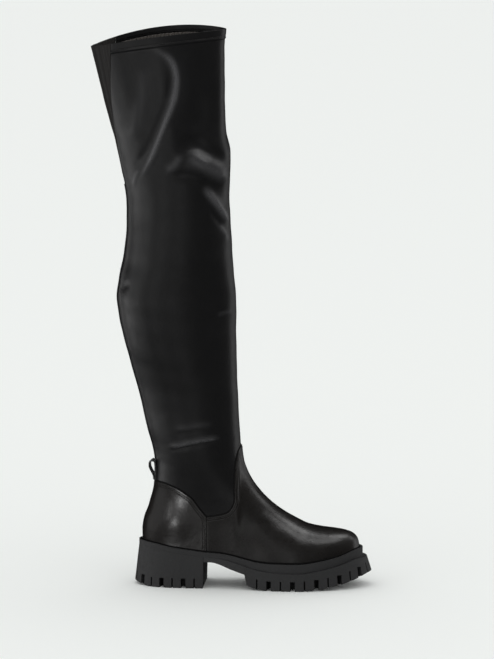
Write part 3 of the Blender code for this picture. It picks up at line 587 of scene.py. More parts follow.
def skin_offset(turn, row, offset):
    """Points at a distance out from the skin, or in where offset is negative."""
    return skin(turn, row) + skin_normal(turn, row) * np.asarray(offset, dtype=float)[..., None]


def column_turn(column, row):
    """Turn of a column at a row. Columns near the quarter seam bend to run along it."""
    reach = np.clip(1.0 - np.abs(column - QUARTER_COLUMN) / WARP_COLUMNS, 0.0, 1.0)
    held = np.minimum(row, QUARTER_ROWS)
    back_x, front_x = read_row("back_x", held), read_row("front_x", held)
    across = (QUARTER_SEAM_X - back_x) / (front_x - back_x)
    seam = np.arccos(1.0 - 2.0 * across) / (2.0 * math.pi)
    fade = np.clip((WARP_ROWS - row) / (WARP_ROWS - QUARTER_ROWS), 0.0, 1.0)
    return column / COLUMNS + (seam - QUARTER_COLUMN / COLUMNS) * reach * fade


def turn_of(column, row):
    """Turn of any column, mirrored past the front seam and before the back seam."""
    column, row = floats(column, row)
    past = column > HALF_COLUMNS
    turn = column_turn(np.where(past, COLUMNS - column, np.abs(column)), row)
    return np.where(past, 1.0 - turn, np.where(column < 0.0, -turn, turn))


def turn_length(row):
    """How long a whole turn would be at the scale that the skin has at its back seam."""
    return 2.0 * math.pi * read_row("outer", row)


def gore_turn(row):
    """Turn at the gore's edge, which widens from its tip to the collar."""
    share = np.clip((ROW_NUMBERS - GORE_TIP_ROW) / (COLLAR_ROW - GORE_TIP_ROW), 0.0, 1.0)
    turns = GORE_HALF_WIDTH * share ** GORE_CURVE / turn_length(ROW_NUMBERS)
    return np.interp(row, ROW_NUMBERS, turns)


def shaft_turn(column, row):
    """Turn of a column of the shaft, which leaves the gore's opening free."""
    edge = gore_turn(row)
    return edge + turn_of(column, row) * (1.0 - 2.0 * edge)


def walk(points):
    """Distance along a path at each of its points."""
    return np.append(0.0, np.cumsum(np.linalg.norm(np.diff(points, axis=0), axis=-1)))


def read_path(at, walked, points):
    """Points, or directions, of a path at distances along it."""
    return np.stack([np.interp(at, walked, axis) for axis in points.T], axis=-1)


def path_samples(points, count):
    """Evenly spaced points on a smooth curve through a few points."""
    points = np.array(points, dtype=float)
    walked = walk(points)
    at = np.linspace(0.0, walked[-1], count)
    return np.stack([smooth(walked, axis, at) for axis in points.T], axis=-1)


def creases(turn, row):
    """How far the creases and the slack lift the shaft's leather, and how sharp its ridges are."""
    place = skin(turn, row)
    angle = 2.0 * math.pi * turn
    is_outer = np.sin(angle) >= 0.0
    bow = np.abs(np.sin(angle))
    x, z = place[..., 0] / MM, place[..., 2] / MM
    lift = np.zeros(np.shape(x))
    ridge = np.zeros(np.shape(x))
    for side, height, left_width, right_width, points in CREASES:
        path = path_samples(points, 40)
        length = len(path) - 1
        widest = CREASE_REACH * max(left_width, right_width)
        low, high = path.min(axis=0) - widest, path.max(axis=0) + widest
        near = (x > low[0]) & (x < high[0]) & (z > low[1]) & (z < high[1])
        near &= is_outer == (side == OUTER)
        if not near.any():
            continue
        spot = np.stack((x[near], z[near]), axis=-1)[:, None, :]
        start, step = path[:-1][None], np.diff(path, axis=0)[None]
        share = np.sum((spot - start) * step, axis=-1) / np.sum(step * step, axis=-1)
        share = np.clip(share, 0.0, 1.0)
        gap = spot - start - share[..., None] * step
        distance = np.linalg.norm(gap, axis=-1)
        nearest = np.argmin(distance, axis=1)
        pick = (np.arange(len(nearest)), nearest)
        turn_side = step[0, nearest, 0] * gap[pick][:, 1] - step[0, nearest, 1] * gap[pick][:, 0]
        width = np.where(turn_side > 0.0, left_width, right_width)
        along = (nearest + share[pick]) / length
        taper = ease(along / CREASE_TAPER) * ease((1.0 - along) / CREASE_TAPER)
        shape = np.exp(-(distance[pick] / width) ** 2)
        amount = height * MM * shape * taper * ease(bow[near] * CREASE_SEAM_FADE)
        lift[near] += amount
        ridge[near] += np.maximum(amount, 0.0) / width
    up = np.clip((row - ANKLE_ROW) / (COLLAR_ROW - ANKLE_ROW), 0.0, 1.0)
    for height, waves_up, waves_round, phase in SLACK:
        wave = np.sin(2.0 * math.pi * waves_up * up + phase + waves_round * angle)
        lift += height * MM * wave * np.sin(math.pi * np.clip(up * 1.02, 0.0, 1.0)) ** 0.5
    return lift, np.clip(ridge / RIDGE_SHARP, 0.0, 1.0)


def crease_height(turn, row):
    """How far the creases and the slack lift the shaft's leather, in metres."""
    return creases(turn, row)[0]


def light_group(name):
    """A collection of pieces that share their soft boxes."""
    made = bpy.data.collections.new(name)
    bpy.context.scene.collection.children.link(made)
    return made


BOOT = light_group("boot")
BODY = light_group("body")
COUNTER = light_group("counter")


def add_object(name, vertices, faces, finish, slot, attributes=None):
    """Make one piece from points and faces in the boot's frame and let it ride on the boot."""
    mesh = bpy.data.meshes.new(name)
    points = np.asarray(vertices, dtype=float).reshape(-1, 3) + SHIFT
    mesh.from_pydata(points.tolist(), [], faces)
    for key, values in (attributes or {}).items():
        layer = mesh.attributes.new(key, "FLOAT", "POINT")
        layer.data.foreach_set("value", np.asarray(values, dtype=np.float32).ravel())
    shape = bmesh.new()
    shape.from_mesh(mesh)
    loose = [point for point in shape.verts if not point.link_faces]
    bmesh.ops.delete(shape, geom=loose, context="VERTS")
    bmesh.ops.recalc_face_normals(shape, faces=shape.faces)
    shape.to_mesh(mesh)
    shape.free()
    mesh.materials.append(finish)
    mesh.shade_smooth()
    made = bpy.data.objects.new(name, mesh)
    BOOT.objects.link(made)
    (COUNTER if name == "heel_counter_leather" else BODY).objects.link(made)
    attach(made, "root")
    return made


def band(first, second):
    """Faces between rows of points and the rows beside them."""
    corners = (first[..., :-1], second[..., :-1], second[..., 1:], first[..., 1:])
    return np.stack(corners, axis=-1).reshape(-1, 4).tolist()


def wall_faces(outer, inner, joined=0):
    """Faces of a closed wall between two grids of points.

    In the first joined rows the last column is the first one, so the wall runs all round.
    """
    faces = band(outer[:-1], outer[1:]) + band(inner[:-1], inner[1:])
    first = max(joined - 1, 0)
    for place in (0, -1):
        faces += band(outer[place], inner[place])
        faces += band(outer[first:, place], inner[first:, place])
    faces = [tuple(dict.fromkeys(face)) for face in faces]
    return [face for face in faces if len(face) > 2]


def shell(outside, inside, joined=0):
    """Points and faces of a wall between two grids of points, which runs round as far as joined."""
    ids = np.arange(2 * outside[..., 0].size).reshape(2, *outside.shape[:2])
    ids[:, :joined, -1] = ids[:, :joined, 0]
    return np.stack((outside, inside)).reshape(-1, 3), wall_faces(*ids, joined)


def bevel_free_edges(made, width, is_hidden, angle=40.0):
    """Round the sharp edges of a sole piece, but for those that lie against another piece."""
    shape = bmesh.new()
    shape.from_mesh(made.data)
    weight = shape.edges.layers.float.new("bevel_weight_edge")
    for edge in shape.edges:
        middle = (edge.verts[0].co + edge.verts[1].co) / 2.0
        if len(edge.link_faces) == 2 and edge.calc_face_angle() > math.radians(angle):
            if not is_hidden(middle.x - SHIFT[0], middle.z):
                edge[weight] = 1.0
    shape.to_mesh(made.data)
    shape.free()
    made.data.shade_smooth()
    made.data.set_sharp_from_angle(angle=math.radians(angle))
    bevel(made, width).modifiers[-1].limit_method = "WEIGHT"
    return made


def bevel(made, width, segments=2, angle=35.0):
    """Round the sharp edges of a piece."""
    edge = made.modifiers.new("rounded", "BEVEL")
    edge.width = width
    edge.segments = segments
    edge.limit_method = "ANGLE"
    edge.angle_limit = math.radians(angle)
    return made


def skin_piece(name, turn, row, heights, finish, slot, joined=0, attributes=None):
    """A wall between two heights over the skin, the outer one first."""
    vertices, faces = shell(*[skin_offset(turn, row, height) for height in heights], joined)
    return add_object(name, vertices, faces, finish, slot, attributes)


class Shader:
    """Builds one material's nodes round its Principled shader."""

    def __init__(self, name, colour, roughness, **values):
        self.material = bpy.data.materials.new(name)
        self.material.use_nodes = True
        self.tree = self.material.node_tree
        self.main = self.tree.nodes["Principled BSDF"]
        self.main.inputs["Base Color"].default_value = (*colour, 1.0)
        self.main.inputs["Roughness"].default_value = roughness
        for key, value in values.items():
            self.main.inputs[key.replace("_", " ")].default_value = value
        self.material.diffuse_color = (*colour, 1.0)
        self.place = self.add("ShaderNodeTexCoord").outputs["Object"]
        self.relief = None

    def add(self, kind, links=None, **values):
        """Add a node, set its properties or inputs, and link named inputs."""
        node = self.tree.nodes.new(kind)
        for key, value in values.items():
            if hasattr(node, key):
                setattr(node, key, value)
            else:
                node.inputs[key.replace("_", " ")].default_value = value
        for key, source in (links or {}).items():
            self.tree.links.new(source, node.inputs[key])
        return node

    def noise(self, size, detail=3.0, roughness=0.5, stretch=(1.0, 1.0, 1.0)):
        """Noise whose features are about size metres across."""
        mapped = self.add("ShaderNodeMapping", {"Vector": self.place}, Scale=stretch)
        made = self.add("ShaderNodeTexNoise", {"Vector": mapped.outputs["Vector"]},
                        Scale=1.0 / size, Detail=detail, Roughness=roughness)
        return made.outputs["Fac"]

    def ramp(self, source, low, high, low_value, high_value):
        """Map a value from one range to another, held at both ends."""
        made = self.add("ShaderNodeMapRange", {"Value": source}, From_Min=low, From_Max=high,
                        To_Min=low_value, To_Max=high_value)
        return made.outputs["Result"]

    def bump(self, height, distance, strength=1.0):
        """Lay a relief on the surface, over any that is there already."""
        links = {"Height": height}
        if self.relief is not None:
            links["Normal"] = self.relief
        made = self.add("ShaderNodeBump", links, Strength=strength, Distance=distance)
        self.relief = made.outputs["Normal"]
        self.tree.links.new(self.relief, self.main.inputs["Normal"])

    def vary(self, name, source):
        """Drive one of the shader's inputs by a value or colour."""
        self.tree.links.new(source, self.main.inputs[name])

    def attribute(self, name):
        """Read a value that the mesh holds at its points."""
        return self.add("ShaderNodeAttribute", attribute_name=name).outputs["Fac"]

    def maths(self, operation, *values):
        """Work on values or numbers."""
        made = self.add("ShaderNodeMath", operation=operation)
        for socket, value in zip(made.inputs, values):
            if isinstance(value, (int, float)):
                socket.default_value = value
            else:
                self.tree.links.new(value, socket)
        return made.outputs["Value"]

    def blend(self, source, first, second):
        """A blend of two colours, or of a colour and a node's output, by a value."""
        mix = self.add("ShaderNodeMix", data_type="RGBA")
        self.tree.links.new(source, mix.inputs[0])
        for socket, colour in ((mix.inputs[6], first), (mix.inputs[7], second)):
            if isinstance(colour, tuple):
                socket.default_value = (*colour, 1.0)
            else:
                self.tree.links.new(colour, socket)
        return mix.outputs[2]

    def tint(self, source, first, second):
        """Blend two base colours by a value."""
        self.vary("Base Color", self.blend(source, first, second))


def leather_grain(made, size, depth):
    """Pores and pebbles of a leather surface."""
    cells = made.add("ShaderNodeTexVoronoi", {"Vector": made.place}, feature="F1",
                     Scale=1.0 / size, Randomness=1.0)
    made.bump(cells.outputs["Distance"], depth, 0.5)
    made.bump(made.noise(0.55 * size, 4.0, 0.6), 0.6 * depth, 0.5)


def stretch_leather():
    """Thin satin stretch leather of the shaft, polished and given a painted highlight on its sharp
    ridges.
    """
    made = Shader("stretch_leather", (0.0062, 0.0060, 0.0065), 0.36, IOR=1.47)
    made.bump(made.noise(0.030, 2.0, 0.4), 0.0012, 0.35)
    leather_grain(made, 0.0011, 0.00010)
    crest_polish_and_highlight = made.attribute("crest_polish_and_highlight")
    cloud = made.ramp(made.noise(0.010, 4.0, 0.6), 0.3, 0.7, 0.32, 0.40)
    worn = made.ramp(crest_polish_and_highlight, 0.0, 1.0, 0.0, 0.12)
    made.vary("Roughness", made.maths("SUBTRACT", cloud, worn))
    plain = made.blend(made.noise(0.045, 3.0, 0.5), (0.0054, 0.0052, 0.0057),
                       (0.0074, 0.0071, 0.0076))
    # Painted highlight: the sharp crests' base colour is lightened from near black towards grey
    made.vary("Base Color", made.blend(crest_polish_and_highlight, plain, (0.052, 0.051, 0.054)))
    return made.material


def foot_leather():
    """Smooth glossier leather of the vamp and counter, with a faint brown clouding.

    The edge attribute holds the distance in millimetres from the piece's sewn edge.
    """
    made = Shader("foot_leather", (0.0085, 0.0074, 0.0068), 0.33, IOR=1.5, Coat_Weight=0.22,
                  Coat_Roughness=0.22)
    made.bump(made.noise(0.016, 3.0, 0.5), 0.0014, 0.35)
    made.bump(made.noise(0.0045, 3.0, 0.6), 0.00035, 0.35)
    leather_grain(made, 0.0008, 0.00004)
    edge = made.attribute("edge")
    for groove in STITCH_INSETS:
        away = made.maths("ABSOLUTE", made.maths("SUBTRACT", edge, groove / MM))
        made.bump(made.ramp(away, 0.0, 0.75, 0.0, 1.0), 0.00045, 0.9)
    made.vary("Roughness", made.ramp(made.noise(0.006, 5.0, 0.65), 0.3, 0.7, 0.26, 0.41))
    made.tint(made.noise(0.022, 4.0, 0.55), (0.0066, 0.0058, 0.0055), (0.0124, 0.0104, 0.0096))
    return made.material


def sole_rubber():
    """Matt moulded rubber with a fine pebbled skin."""
    made = Shader("sole_rubber", (0.022, 0.022, 0.0225), 0.62, IOR=1.45)
    made.bump(made.noise(0.0009, 3.0, 0.6), 0.00016, 0.8)
    made.vary("Roughness", made.ramp(made.noise(0.004, 4.0, 0.6), 0.3, 0.7, 0.56, 0.70))
    made.tint(made.noise(0.0016, 4.0, 0.7), (0.0150, 0.0148, 0.0158), (0.0290, 0.0284, 0.0296))
    return made.material


def gore_elastic():
    """Matt elastic with ribs up the boot."""
    made = Shader("gore_elastic", (0.009, 0.0078, 0.0072), 0.72)
    weave = made.noise(0.0007, 2.0, 0.5, (1.0, 1.0, 2.5))
    made.bump(weave, 0.00022, 0.8)
    made.tint(weave, (0.0085, 0.0072, 0.0066), (0.0160, 0.0135, 0.0122))
    return made.material


def loop_webbing():
    """Matt woven webbing."""
    made = Shader("loop_webbing", (0.012, 0.012, 0.0125), 0.78, Sheen_Weight=0.2)
    wave = made.add("ShaderNodeTexWave", {"Vector": made.place}, wave_type="BANDS",
                    bands_direction="Z", Scale=2.0 * math.pi / 0.0095, Distortion=1.0)
    made.bump(wave.outputs["Fac"], 0.00025, 0.8)
    made.tint(made.noise(0.0008, 3.0, 0.6), (0.009, 0.009, 0.0095), (0.016, 0.016, 0.0165))
    return made.material


def lining_knit():
    """Dull dark brown knit inside the shaft."""
    made = Shader("lining", (0.030, 0.025, 0.022), 0.88, Sheen_Weight=0.25)
    knit = made.noise(0.0012, 2.0, 0.5, (1.0, 1.0, 1.8))
    made.bump(knit, 0.00035, 0.9)
    made.tint(knit, (0.034, 0.028, 0.025), (0.072, 0.062, 0.055))
    return made.material


def matt_black_and_painted_shade():
    """Dull black, for painted shade in the seams' grooves and over the feather, and for the facing
    stitches.
    """
    made = Shader("matt_black_and_painted_shade", (0.0035, 0.0034, 0.0034), 0.75, Specular_IOR_Level=0.15)
    made.bump(made.noise(0.0010, 2.0, 0.5), 0.0001, 0.5)
    return made.material


def waxed_thread():
    """Waxed polyester thread."""
    made = Shader("thread", (0.018, 0.0172, 0.0168), 0.38)
    made.bump(made.noise(0.0004, 2.0, 0.5), 0.00006, 0.6)
    return made.material


def stitch_points(turn, row, offset, pitch=0.0030, length=0.0023, radius=STITCH):
    """Points and faces of a row of stitches along a path of turns and rows."""
    place = skin_offset(turn, row, offset)
    walked = walk(place)
    count = max(1, int(walked[-1] / pitch))
    middles = (np.arange(count) + 0.5) * walked[-1] / count
    at = (middles[:, None] + STITCH_SHARES * length).ravel()
    out = read_path(at, walked, skin_normal(turn, row))
    along = read_path(at + MM / 2.0, walked, place) - read_path(at - MM / 2.0, walked, place)
    along /= np.maximum(np.linalg.norm(along, axis=-1, keepdims=True), 1e-12)
    side = np.cross(out, along)
    side /= np.linalg.norm(side, axis=-1, keepdims=True)
    core = read_path(at, walked, place) + out * np.tile(STITCH_SINK * radius, count)[:, None]
    angle = (2.0 * math.pi * np.arange(STITCH_SIDES) / STITCH_SIDES)[:, None]
    ring = np.cos(angle) * side[:, None] + np.sin(angle) * out[:, None]
    reach = np.tile(STITCH_SWELL * radius, count)[:, None, None]
    vertices = (core[:, None] + ring * reach).reshape(-1, 3)
    ids = np.arange(len(vertices)).reshape(count, len(STITCH_SHARES), STITCH_SIDES)
    low, high = ids[:, :-1], ids[:, 1:]
    walls = np.stack((low, np.roll(low, -1, axis=-1), np.roll(high, -1, axis=-1), high), axis=-1)
    caps = ids[:, (0, -1)].reshape(-1, STITCH_SIDES)
    return vertices, walls.reshape(-1, 4).tolist() + caps.tolist()


def stitch_row(name, turn, row, offset, finish, slot, radius=STITCH):
    """A row of stitches, joined into one piece."""
    vertices, faces = stitch_points(turn, row, offset, radius=radius)
    return add_object(name, vertices, faces, finish, slot)


def inset_path(turn, row, distance):
    """Move a path on the skin sideways by a distance. Left of its direction is positive."""
    small_turn, small_row = 0.002, 0.02
    by_turn = (skin(turn + small_turn, row) - skin(turn - small_turn, row)) / (2.0 * small_turn)
    by_row = (skin(turn, row + small_row) - skin(turn, np.maximum(row - small_row, 0.0)))
    by_row = by_row / (small_row + np.minimum(row, small_row))[:, None]
    along = np.gradient(skin(turn, row), axis=0)
    along /= np.linalg.norm(along, axis=-1, keepdims=True)
    side = np.cross(skin_normal(turn, row), along)
    turn_turn = np.sum(by_turn * by_turn, axis=-1)
    turn_row = np.sum(by_turn * by_row, axis=-1)
    row_row = np.sum(by_row * by_row, axis=-1)
    turn_side = np.sum(by_turn * side, axis=-1) * distance
    row_side = np.sum(by_row * side, axis=-1) * distance
    scale = turn_turn * row_row - turn_row ** 2
    new_turn = turn + (turn_side * row_row - row_side * turn_row) / scale
    new_row = row + (row_side * turn_turn - turn_side * turn_row) / scale
    return new_turn, new_row


def resampled(turn, row, step=0.0012):
    """The same path with points evenly spaced along it."""
    walked = walk(skin(turn, row))
    at = np.linspace(0.0, walked[-1], max(4, int(walked[-1] / step)))
    return np.interp(at, walked, turn), np.interp(at, walked, row)


def seam_path(columns, rows):
    """Evenly spaced turns and rows along an overlay's edge."""
    return resampled(turn_of(columns, rows), rows)


def hem_offset(row):
    """How far the turned hem stands out near the collar: a stitched groove over a rolled edge."""
    below = (COLLAR_ROW - row) * ROW_HEIGHT
    offset = HEM_STEP * ease((HEM_HEIGHT + 0.0006 - below) / 0.0012)
    for height, place, reach in HEM_RELIEF:
        offset = offset + height * np.exp(-((below - place) / reach) ** 2)
    return offset


def shaft_rows():
    """Rows of the fine shaft: sparse under the overlays, dense at the ankle and the hem."""
    hem_row = COLLAR_ROW - (HEM_HEIGHT + 0.0030) / ROW_HEIGHT
    spans = ((0.0, 7.9, 0.5), (8.0, 14.0, 0.25), (14.0, ANKLE_ROW, 0.09),
             (ANKLE_ROW, hem_row - 0.05, 0.115))
    parts = [np.arange(start, stop, step) for start, stop, step in spans]
    return np.concatenate((*parts, np.linspace(hem_row, COLLAR_ROW, 40)))


def build_shaft(finish):
    """Outer leather of the upper, with its creases, turned over at the collar."""
    column, row = np.meshgrid(np.linspace(0.0, COLUMNS, SHAFT_COLUMNS), shaft_rows())
    turn = shaft_turn(column, row)
    lift, ridge = creases(turn, row)
    below = (COLLAR_ROW - row) * ROW_HEIGHT
    facing = ease((FACING + 0.0010 - below) / 0.0010)
    heights = (lift + hem_offset(row), lift - LEATHER - facing * (WALL - LEATHER + 0.0002))
    # The ridges' sharpness drives their polish and their painted highlight
    crest_polish_and_highlight = np.concatenate((ridge.ravel(), np.zeros(ridge.size)))
    made = skin_piece("shaft", turn, row, heights, finish, "stretch_leather",
                      int(np.sum(row[:, 0] <= GORE_TIP_ROW)), {"crest_polish_and_highlight": crest_polish_and_highlight})
    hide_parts("upper")
    return bevel(made, 0.0006, 3)


def lowest_crease(turn, row):
    """The deepest crease near each point, so that a coarse surface stays under the fine one."""
    row_reach = np.gradient(row, axis=0)
    turn_reach = np.gradient(turn, axis=1)
    lowest = crease_height(turn, row)
    for across in (-0.6, 0.0, 0.6):
        for along in (-1.0, -0.5, 0.5, 1.0):
            near = crease_height(turn + across * turn_reach, row + along * row_reach)
            lowest = np.minimum(lowest, near)
    return lowest


def build_lining(finish):
    """Knit lining inside the leather, up to the turned hem."""
    top = COLLAR_ROW - (FACING + 0.0012) / ROW_HEIGHT
    rows = np.concatenate((np.arange(0.0, ANKLE_ROW, 0.5), np.linspace(ANKLE_ROW, top - 1.2, 34),
                           np.linspace(top - 1.15, top, 20)))
    column, row = np.meshgrid(np.linspace(0.0, COLUMNS, LINING_COLUMNS), rows)
    turn = shaft_turn(column, row)
    lift = lowest_crease(turn, row) - 0.0001
    waves = np.sin(2.0 * math.pi * column * 1.9 + 1.6 * np.sin(column * 0.9) + 0.5 * row)
    gather = LINING_GATHER * waves * ease((row - top + 1.6) / 1.6)
    return skin_piece("shaft_lining", turn, row, (lift - LEATHER, lift - WALL + gather), finish,
                      "lining", int(np.sum(rows <= GORE_TIP_ROW)))


def counter_outline():
    """Columns and rows along the counter's edge, from the outer quarter seam to the inner."""
    seam_rows = np.linspace(0.6, 8.0, 30)
    columns = np.concatenate((np.full(30, float(QUARTER_COLUMN)),
                              np.linspace(QUARTER_COLUMN - 0.04, 7.6, 8),
                              np.linspace(7.5, 0.0, 60)))
    tops = smooth(COUNTER_EDGE["around"], COUNTER_EDGE["row"], columns[30:] / HALF_COLUMNS)
    rows = np.concatenate((seam_rows, tops))
    return np.concatenate((columns, -columns[-2::-1])), np.concatenate((rows, rows[-2::-1]))


def vamp_outline():
    """Columns and rows along the vamp's upper edge, from the outer corner to the inner."""
    columns = np.linspace(QUARTER_COLUMN, COLUMNS - QUARTER_COLUMN, 241)
    around = 1.0 - np.abs(columns - HALF_COLUMNS) / HALF_COLUMNS
    return columns, smooth(VAMP_EDGE["around"], VAMP_EDGE["row"], around)


def nearest_distance(points, path):
    """Distance from each point to the nearest point of a path."""
    flat = points.reshape(-1, 3)
    best = np.full(len(flat), np.inf)
    for spot in path:
        best = np.minimum(best, np.sum((flat - spot) ** 2, axis=-1))
    return np.sqrt(best).reshape(points.shape[:-1])


def counter_bulge(points):
    """The stiffener's crown on both sides of the heel counter."""
    across = (points[..., 0] - BULGE_X) / BULGE_REACH_X
    up = (points[..., 2] - BULGE_Z) / BULGE_REACH_Z
    return BULGE * np.exp(-across ** 2 - up ** 2)


def build_feather_shade_line(finish):
    """A dark line of painted shadow where the upper turns under, just over the rim."""
    rows = np.linspace(0.3, FEATHER_ROW, 8)
    column, row = np.meshgrid(np.linspace(0.0, COLUMNS, LINING_COLUMNS), rows)
    turn = turn_of(column, row)
    height = OUT + counter_bulge(skin(turn, row))
    thin = 0.00012 * ease((FEATHER_ROW - row) / 0.25)
    # Painted shadow along the foot of the upper
    return skin_piece("feather_line", turn, row, (height + 0.00002 + thin, height - 0.00010),
                      finish, "foot_leather", len(rows))


def build_overlay(name, columns, tops, shares, outline, finish):
    """An overlay of foot leather cut from the skin, with a soft edge and stitch grooves."""
    column, share = np.meshgrid(columns, shares)
    row = OVERLAY_FOOT_ROW + share * (tops - OVERLAY_FOOT_ROW)
    turn = turn_of(column, row)
    seam_push = 0.5 * SEAM_GAP / UPPER_LENGTH
    turn[:, 0] += seam_push
    turn[:, -1] -= seam_push
    place = skin(turn, row)
    distance = nearest_distance(place, skin(*seam_path(*outline)))
    soft = 0.00035 * (1.0 - ease(distance / 0.0030))
    bulge = counter_bulge(place) * ease(distance / 0.012)
    edge = np.concatenate((distance.ravel(), distance.ravel())) / MM
    made = skin_piece(name + "_leather", turn, row, (OUT - soft + bulge, SEAT_GAP), finish,
                      "foot_leather", 0, {"edge": edge})
    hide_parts(name)
    return bevel(made, 0.00045, 3)


def build_counter(finish):
    """The heel counter's leather."""
    half = np.concatenate((np.linspace(0.0, 7.5, 46), np.linspace(7.6, QUARTER_COLUMN, 9)))
    columns = np.concatenate((-half[:0:-1], half))
    tops = smooth(COUNTER_EDGE["around"], COUNTER_EDGE["row"], np.abs(columns) / HALF_COLUMNS)
    shares = np.linspace(0.0, 1.0, 56)
    return build_overlay("heel_counter", columns, tops, shares, counter_outline(), finish)


def build_vamp(finish):
    """The vamp's leather."""
    columns, tops = vamp_outline()
    shares = np.concatenate((np.linspace(0.0, 0.8, 62)[:-1], np.linspace(0.8, 1.0, 26)))
    return build_overlay("vamp", columns[::2], tops[::2], shares, (columns, tops), finish)


def build_seam_stitches(finish):
    """Stitch rows along the counter's and the vamp's edges."""
    near, far = STITCH_INSETS
    ends_cut = slice(4, -4)
    for name, outline, inset, kept in (
            ("counter_stitches_0", counter_outline(), near, ends_cut),
            ("counter_stitches_1", counter_outline(), far, ends_cut),
            ("vamp_stitches", vamp_outline(), -near, slice(None))):
        turn, row = inset_path(*seam_path(*outline), inset)
        path = resampled(turn[kept], row[kept])
        stitch_row(name, *path, OUT - 0.00005, finish, "foot_leather")


def build_collar_stitches(finish, facing_finish):
    """Stitch rows in the hem's groove, outside and inside the collar."""
    hem_row = COLLAR_ROW - HEM_GROOVE / ROW_HEIGHT
    edge = gore_turn(hem_row) + 0.004
    turn = np.linspace(edge, 1.0 - edge, 500)
    row = np.full(500, hem_row)
    lift = crease_height(turn, row)
    stitch_row("hem_stitches", turn, row, lift + hem_offset(row), finish, "stretch_leather")
    row = np.full(500, COLLAR_ROW - 0.72 * FACING / ROW_HEIGHT)
    lift = crease_height(turn, row)
    stitch_row("facing_stitches", turn, row, lift - WALL - 0.0003, facing_finish,
               "stretch_leather", FACING_STITCH)


def build_bar_tacks(finish):
    """The short dense tacks across the vamp's edge, one on each side of the ankle."""
    columns, rows = vamp_outline()
    half = len(columns) // 2
    turn, row = seam_path(columns[:half], rows[:half])
    height = skin(turn, row)[:, 2]
    spots = np.arange(TACK_LOW, TACK_HIGH, TACK_PITCH)
    for side in ("outer", "inner"):
        vertices, faces = [], []
        for spot in spots:
            at = int(np.argmin(np.abs(height - spot)))
            near = slice(at - 3, at + 4)
            first = inset_path(turn[near], row[near], -TACK_START)
            last = inset_path(turn[near], row[near], -TACK_START - TACK_WIDTH)
            path = [np.linspace(first[k][3], last[k][3], 8) for k in (0, 1)]
            if side == "inner":
                path[0] = 1.0 - path[0]
            points, shapes = stitch_points(*path, OUT, TACK_WIDTH, 0.95 * TACK_WIDTH, 0.00034)
            base = len(vertices)
            vertices += points.tolist()
            faces += [[base + index for index in shape] for shape in shapes]
        add_object(f"bar_tack_{side}", vertices, faces, finish, "foot_leather")


def build_seam_shade_strips(finish):
    """Dark strips of painted shade that lie in the angle between the shaft and the overlays' edges."""
    rises = np.array((0.0012, 0.0008, 0.0004, 0.00006))[:, None]
    for name, outline, way in (("counter", counter_outline(), -1.0), ("vamp", vamp_outline(), 1.0)):
        path = seam_path(*outline)
        strips = [inset_path(*path, way * reach) for reach in (-0.0004, 0.0004, 0.0011, 0.0018)]
        turn, row = np.stack(strips, axis=1)
        height = crease_height(turn, row) + rises
        # Sheets of painted shade, laid just over the shaft in the seam's angle
        skin_piece(f"{name}_seam_shade_strip", turn, row, (height, height - 0.0003), finish,
                   "stretch_leather")


def build_strip(finish):
    """The raised strip over the back seam, domed across."""
    top_z = float(read_row("back_z", COUNTER_EDGE["row"][0])) + LOOP_HEIGHT
    low = float(np.interp(top_z + 4.0 * SEAM_GAP, ROWS["back_z"], ROW_NUMBERS))
    share, row = np.meshgrid(np.linspace(-1.0, 1.0, 13), np.linspace(low, GORE_TIP_ROW - 0.1, 200))
    turn = share * STRIP_HALF_WIDTH / turn_length(row)
    lift = crease_height(turn, row)
    dome = STRIP_HEIGHT * (0.55 + 0.45 * (1.0 - share ** 2))
    made = skin_piece("back_strip", turn, row, (lift + SEAM_GAP + dome, lift + 0.00005), finish,
                      "stretch_leather")
    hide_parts("back_seam_strip")
    return bevel(made, 0.0003)


def build_gore(finish):
    """The elastic gore with its ribs, let into the back of the collar."""
    rows = np.linspace(GORE_TIP_ROW + 0.22, COLLAR_ROW, 120)
    share, row = np.meshgrid(np.linspace(-1.0, 1.0, 169), rows)
    turn = share * (gore_turn(row) - SEAM_GAP / turn_length(row))
    width = share * gore_turn(row) * turn_length(row)
    ribs = GORE_RIB_HEIGHT * np.cos(2.0 * math.pi * width / GORE_RIB_PITCH)
    fade = ease((row - GORE_TIP_ROW) / (0.6 * (COLLAR_ROW - GORE_TIP_ROW)))
    for place, height, reach in GORE_PLEATS:
        ribs = ribs + height * fade * np.exp(-((abs(width) - place) / reach) ** 2)
    height = crease_height(turn, row) - GORE_RECESS + ribs
    made = skin_piece("gore_panel", turn, row, (height, height - GORE_THICKNESS), finish,
                      "gore_elastic")
    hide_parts("back_gore")
    return made


def build_pull_loop(finish):
    """The webbing loop over the counter: its inner leg lies on the boot, its outer one bows."""
    foot_z = float(read_row("back_z", COUNTER_EDGE["row"][0])) + 2.0 * SEAM_GAP
    path = path_samples(LOOP_LINE, 60)
    line = path * (LOOP_HEIGHT, LOOP_DEPTH)
    slope = np.gradient(line, axis=0)
    slope /= np.linalg.norm(slope, axis=1, keepdims=True)
    rows = np.interp(foot_z + line[:, 0], ROWS["back_z"], ROW_NUMBERS)
    y, row = np.meshgrid(np.linspace(-0.5, 0.5, 25) * LOOP_WIDTH, rows)
    turn = y / turn_length(row)
    seam_x = skin(0.0, row)[..., 0]
    wrap = 1.0 - 0.55 * ease(path[:, 1])[:, None]
    base_x = seam_x + (skin(turn, row)[..., 0] - seam_x) * wrap
    grids = []
    for side in (0.5 * STRAP, -0.5 * STRAP):
        x = base_x - SEAM_GAP - (line[:, 1] - side * slope[:, 0])[:, None]
        z = (foot_z + line[:, 0] - side * slope[:, 1])[:, None]
        grids.append(np.stack(floats(x, y, z), axis=-1))
    made = add_object("heel_pull_loop", *shell(*grids), finish, "loop_webbing")
    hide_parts("pull_loop")
    return bevel(made, 0.0003)


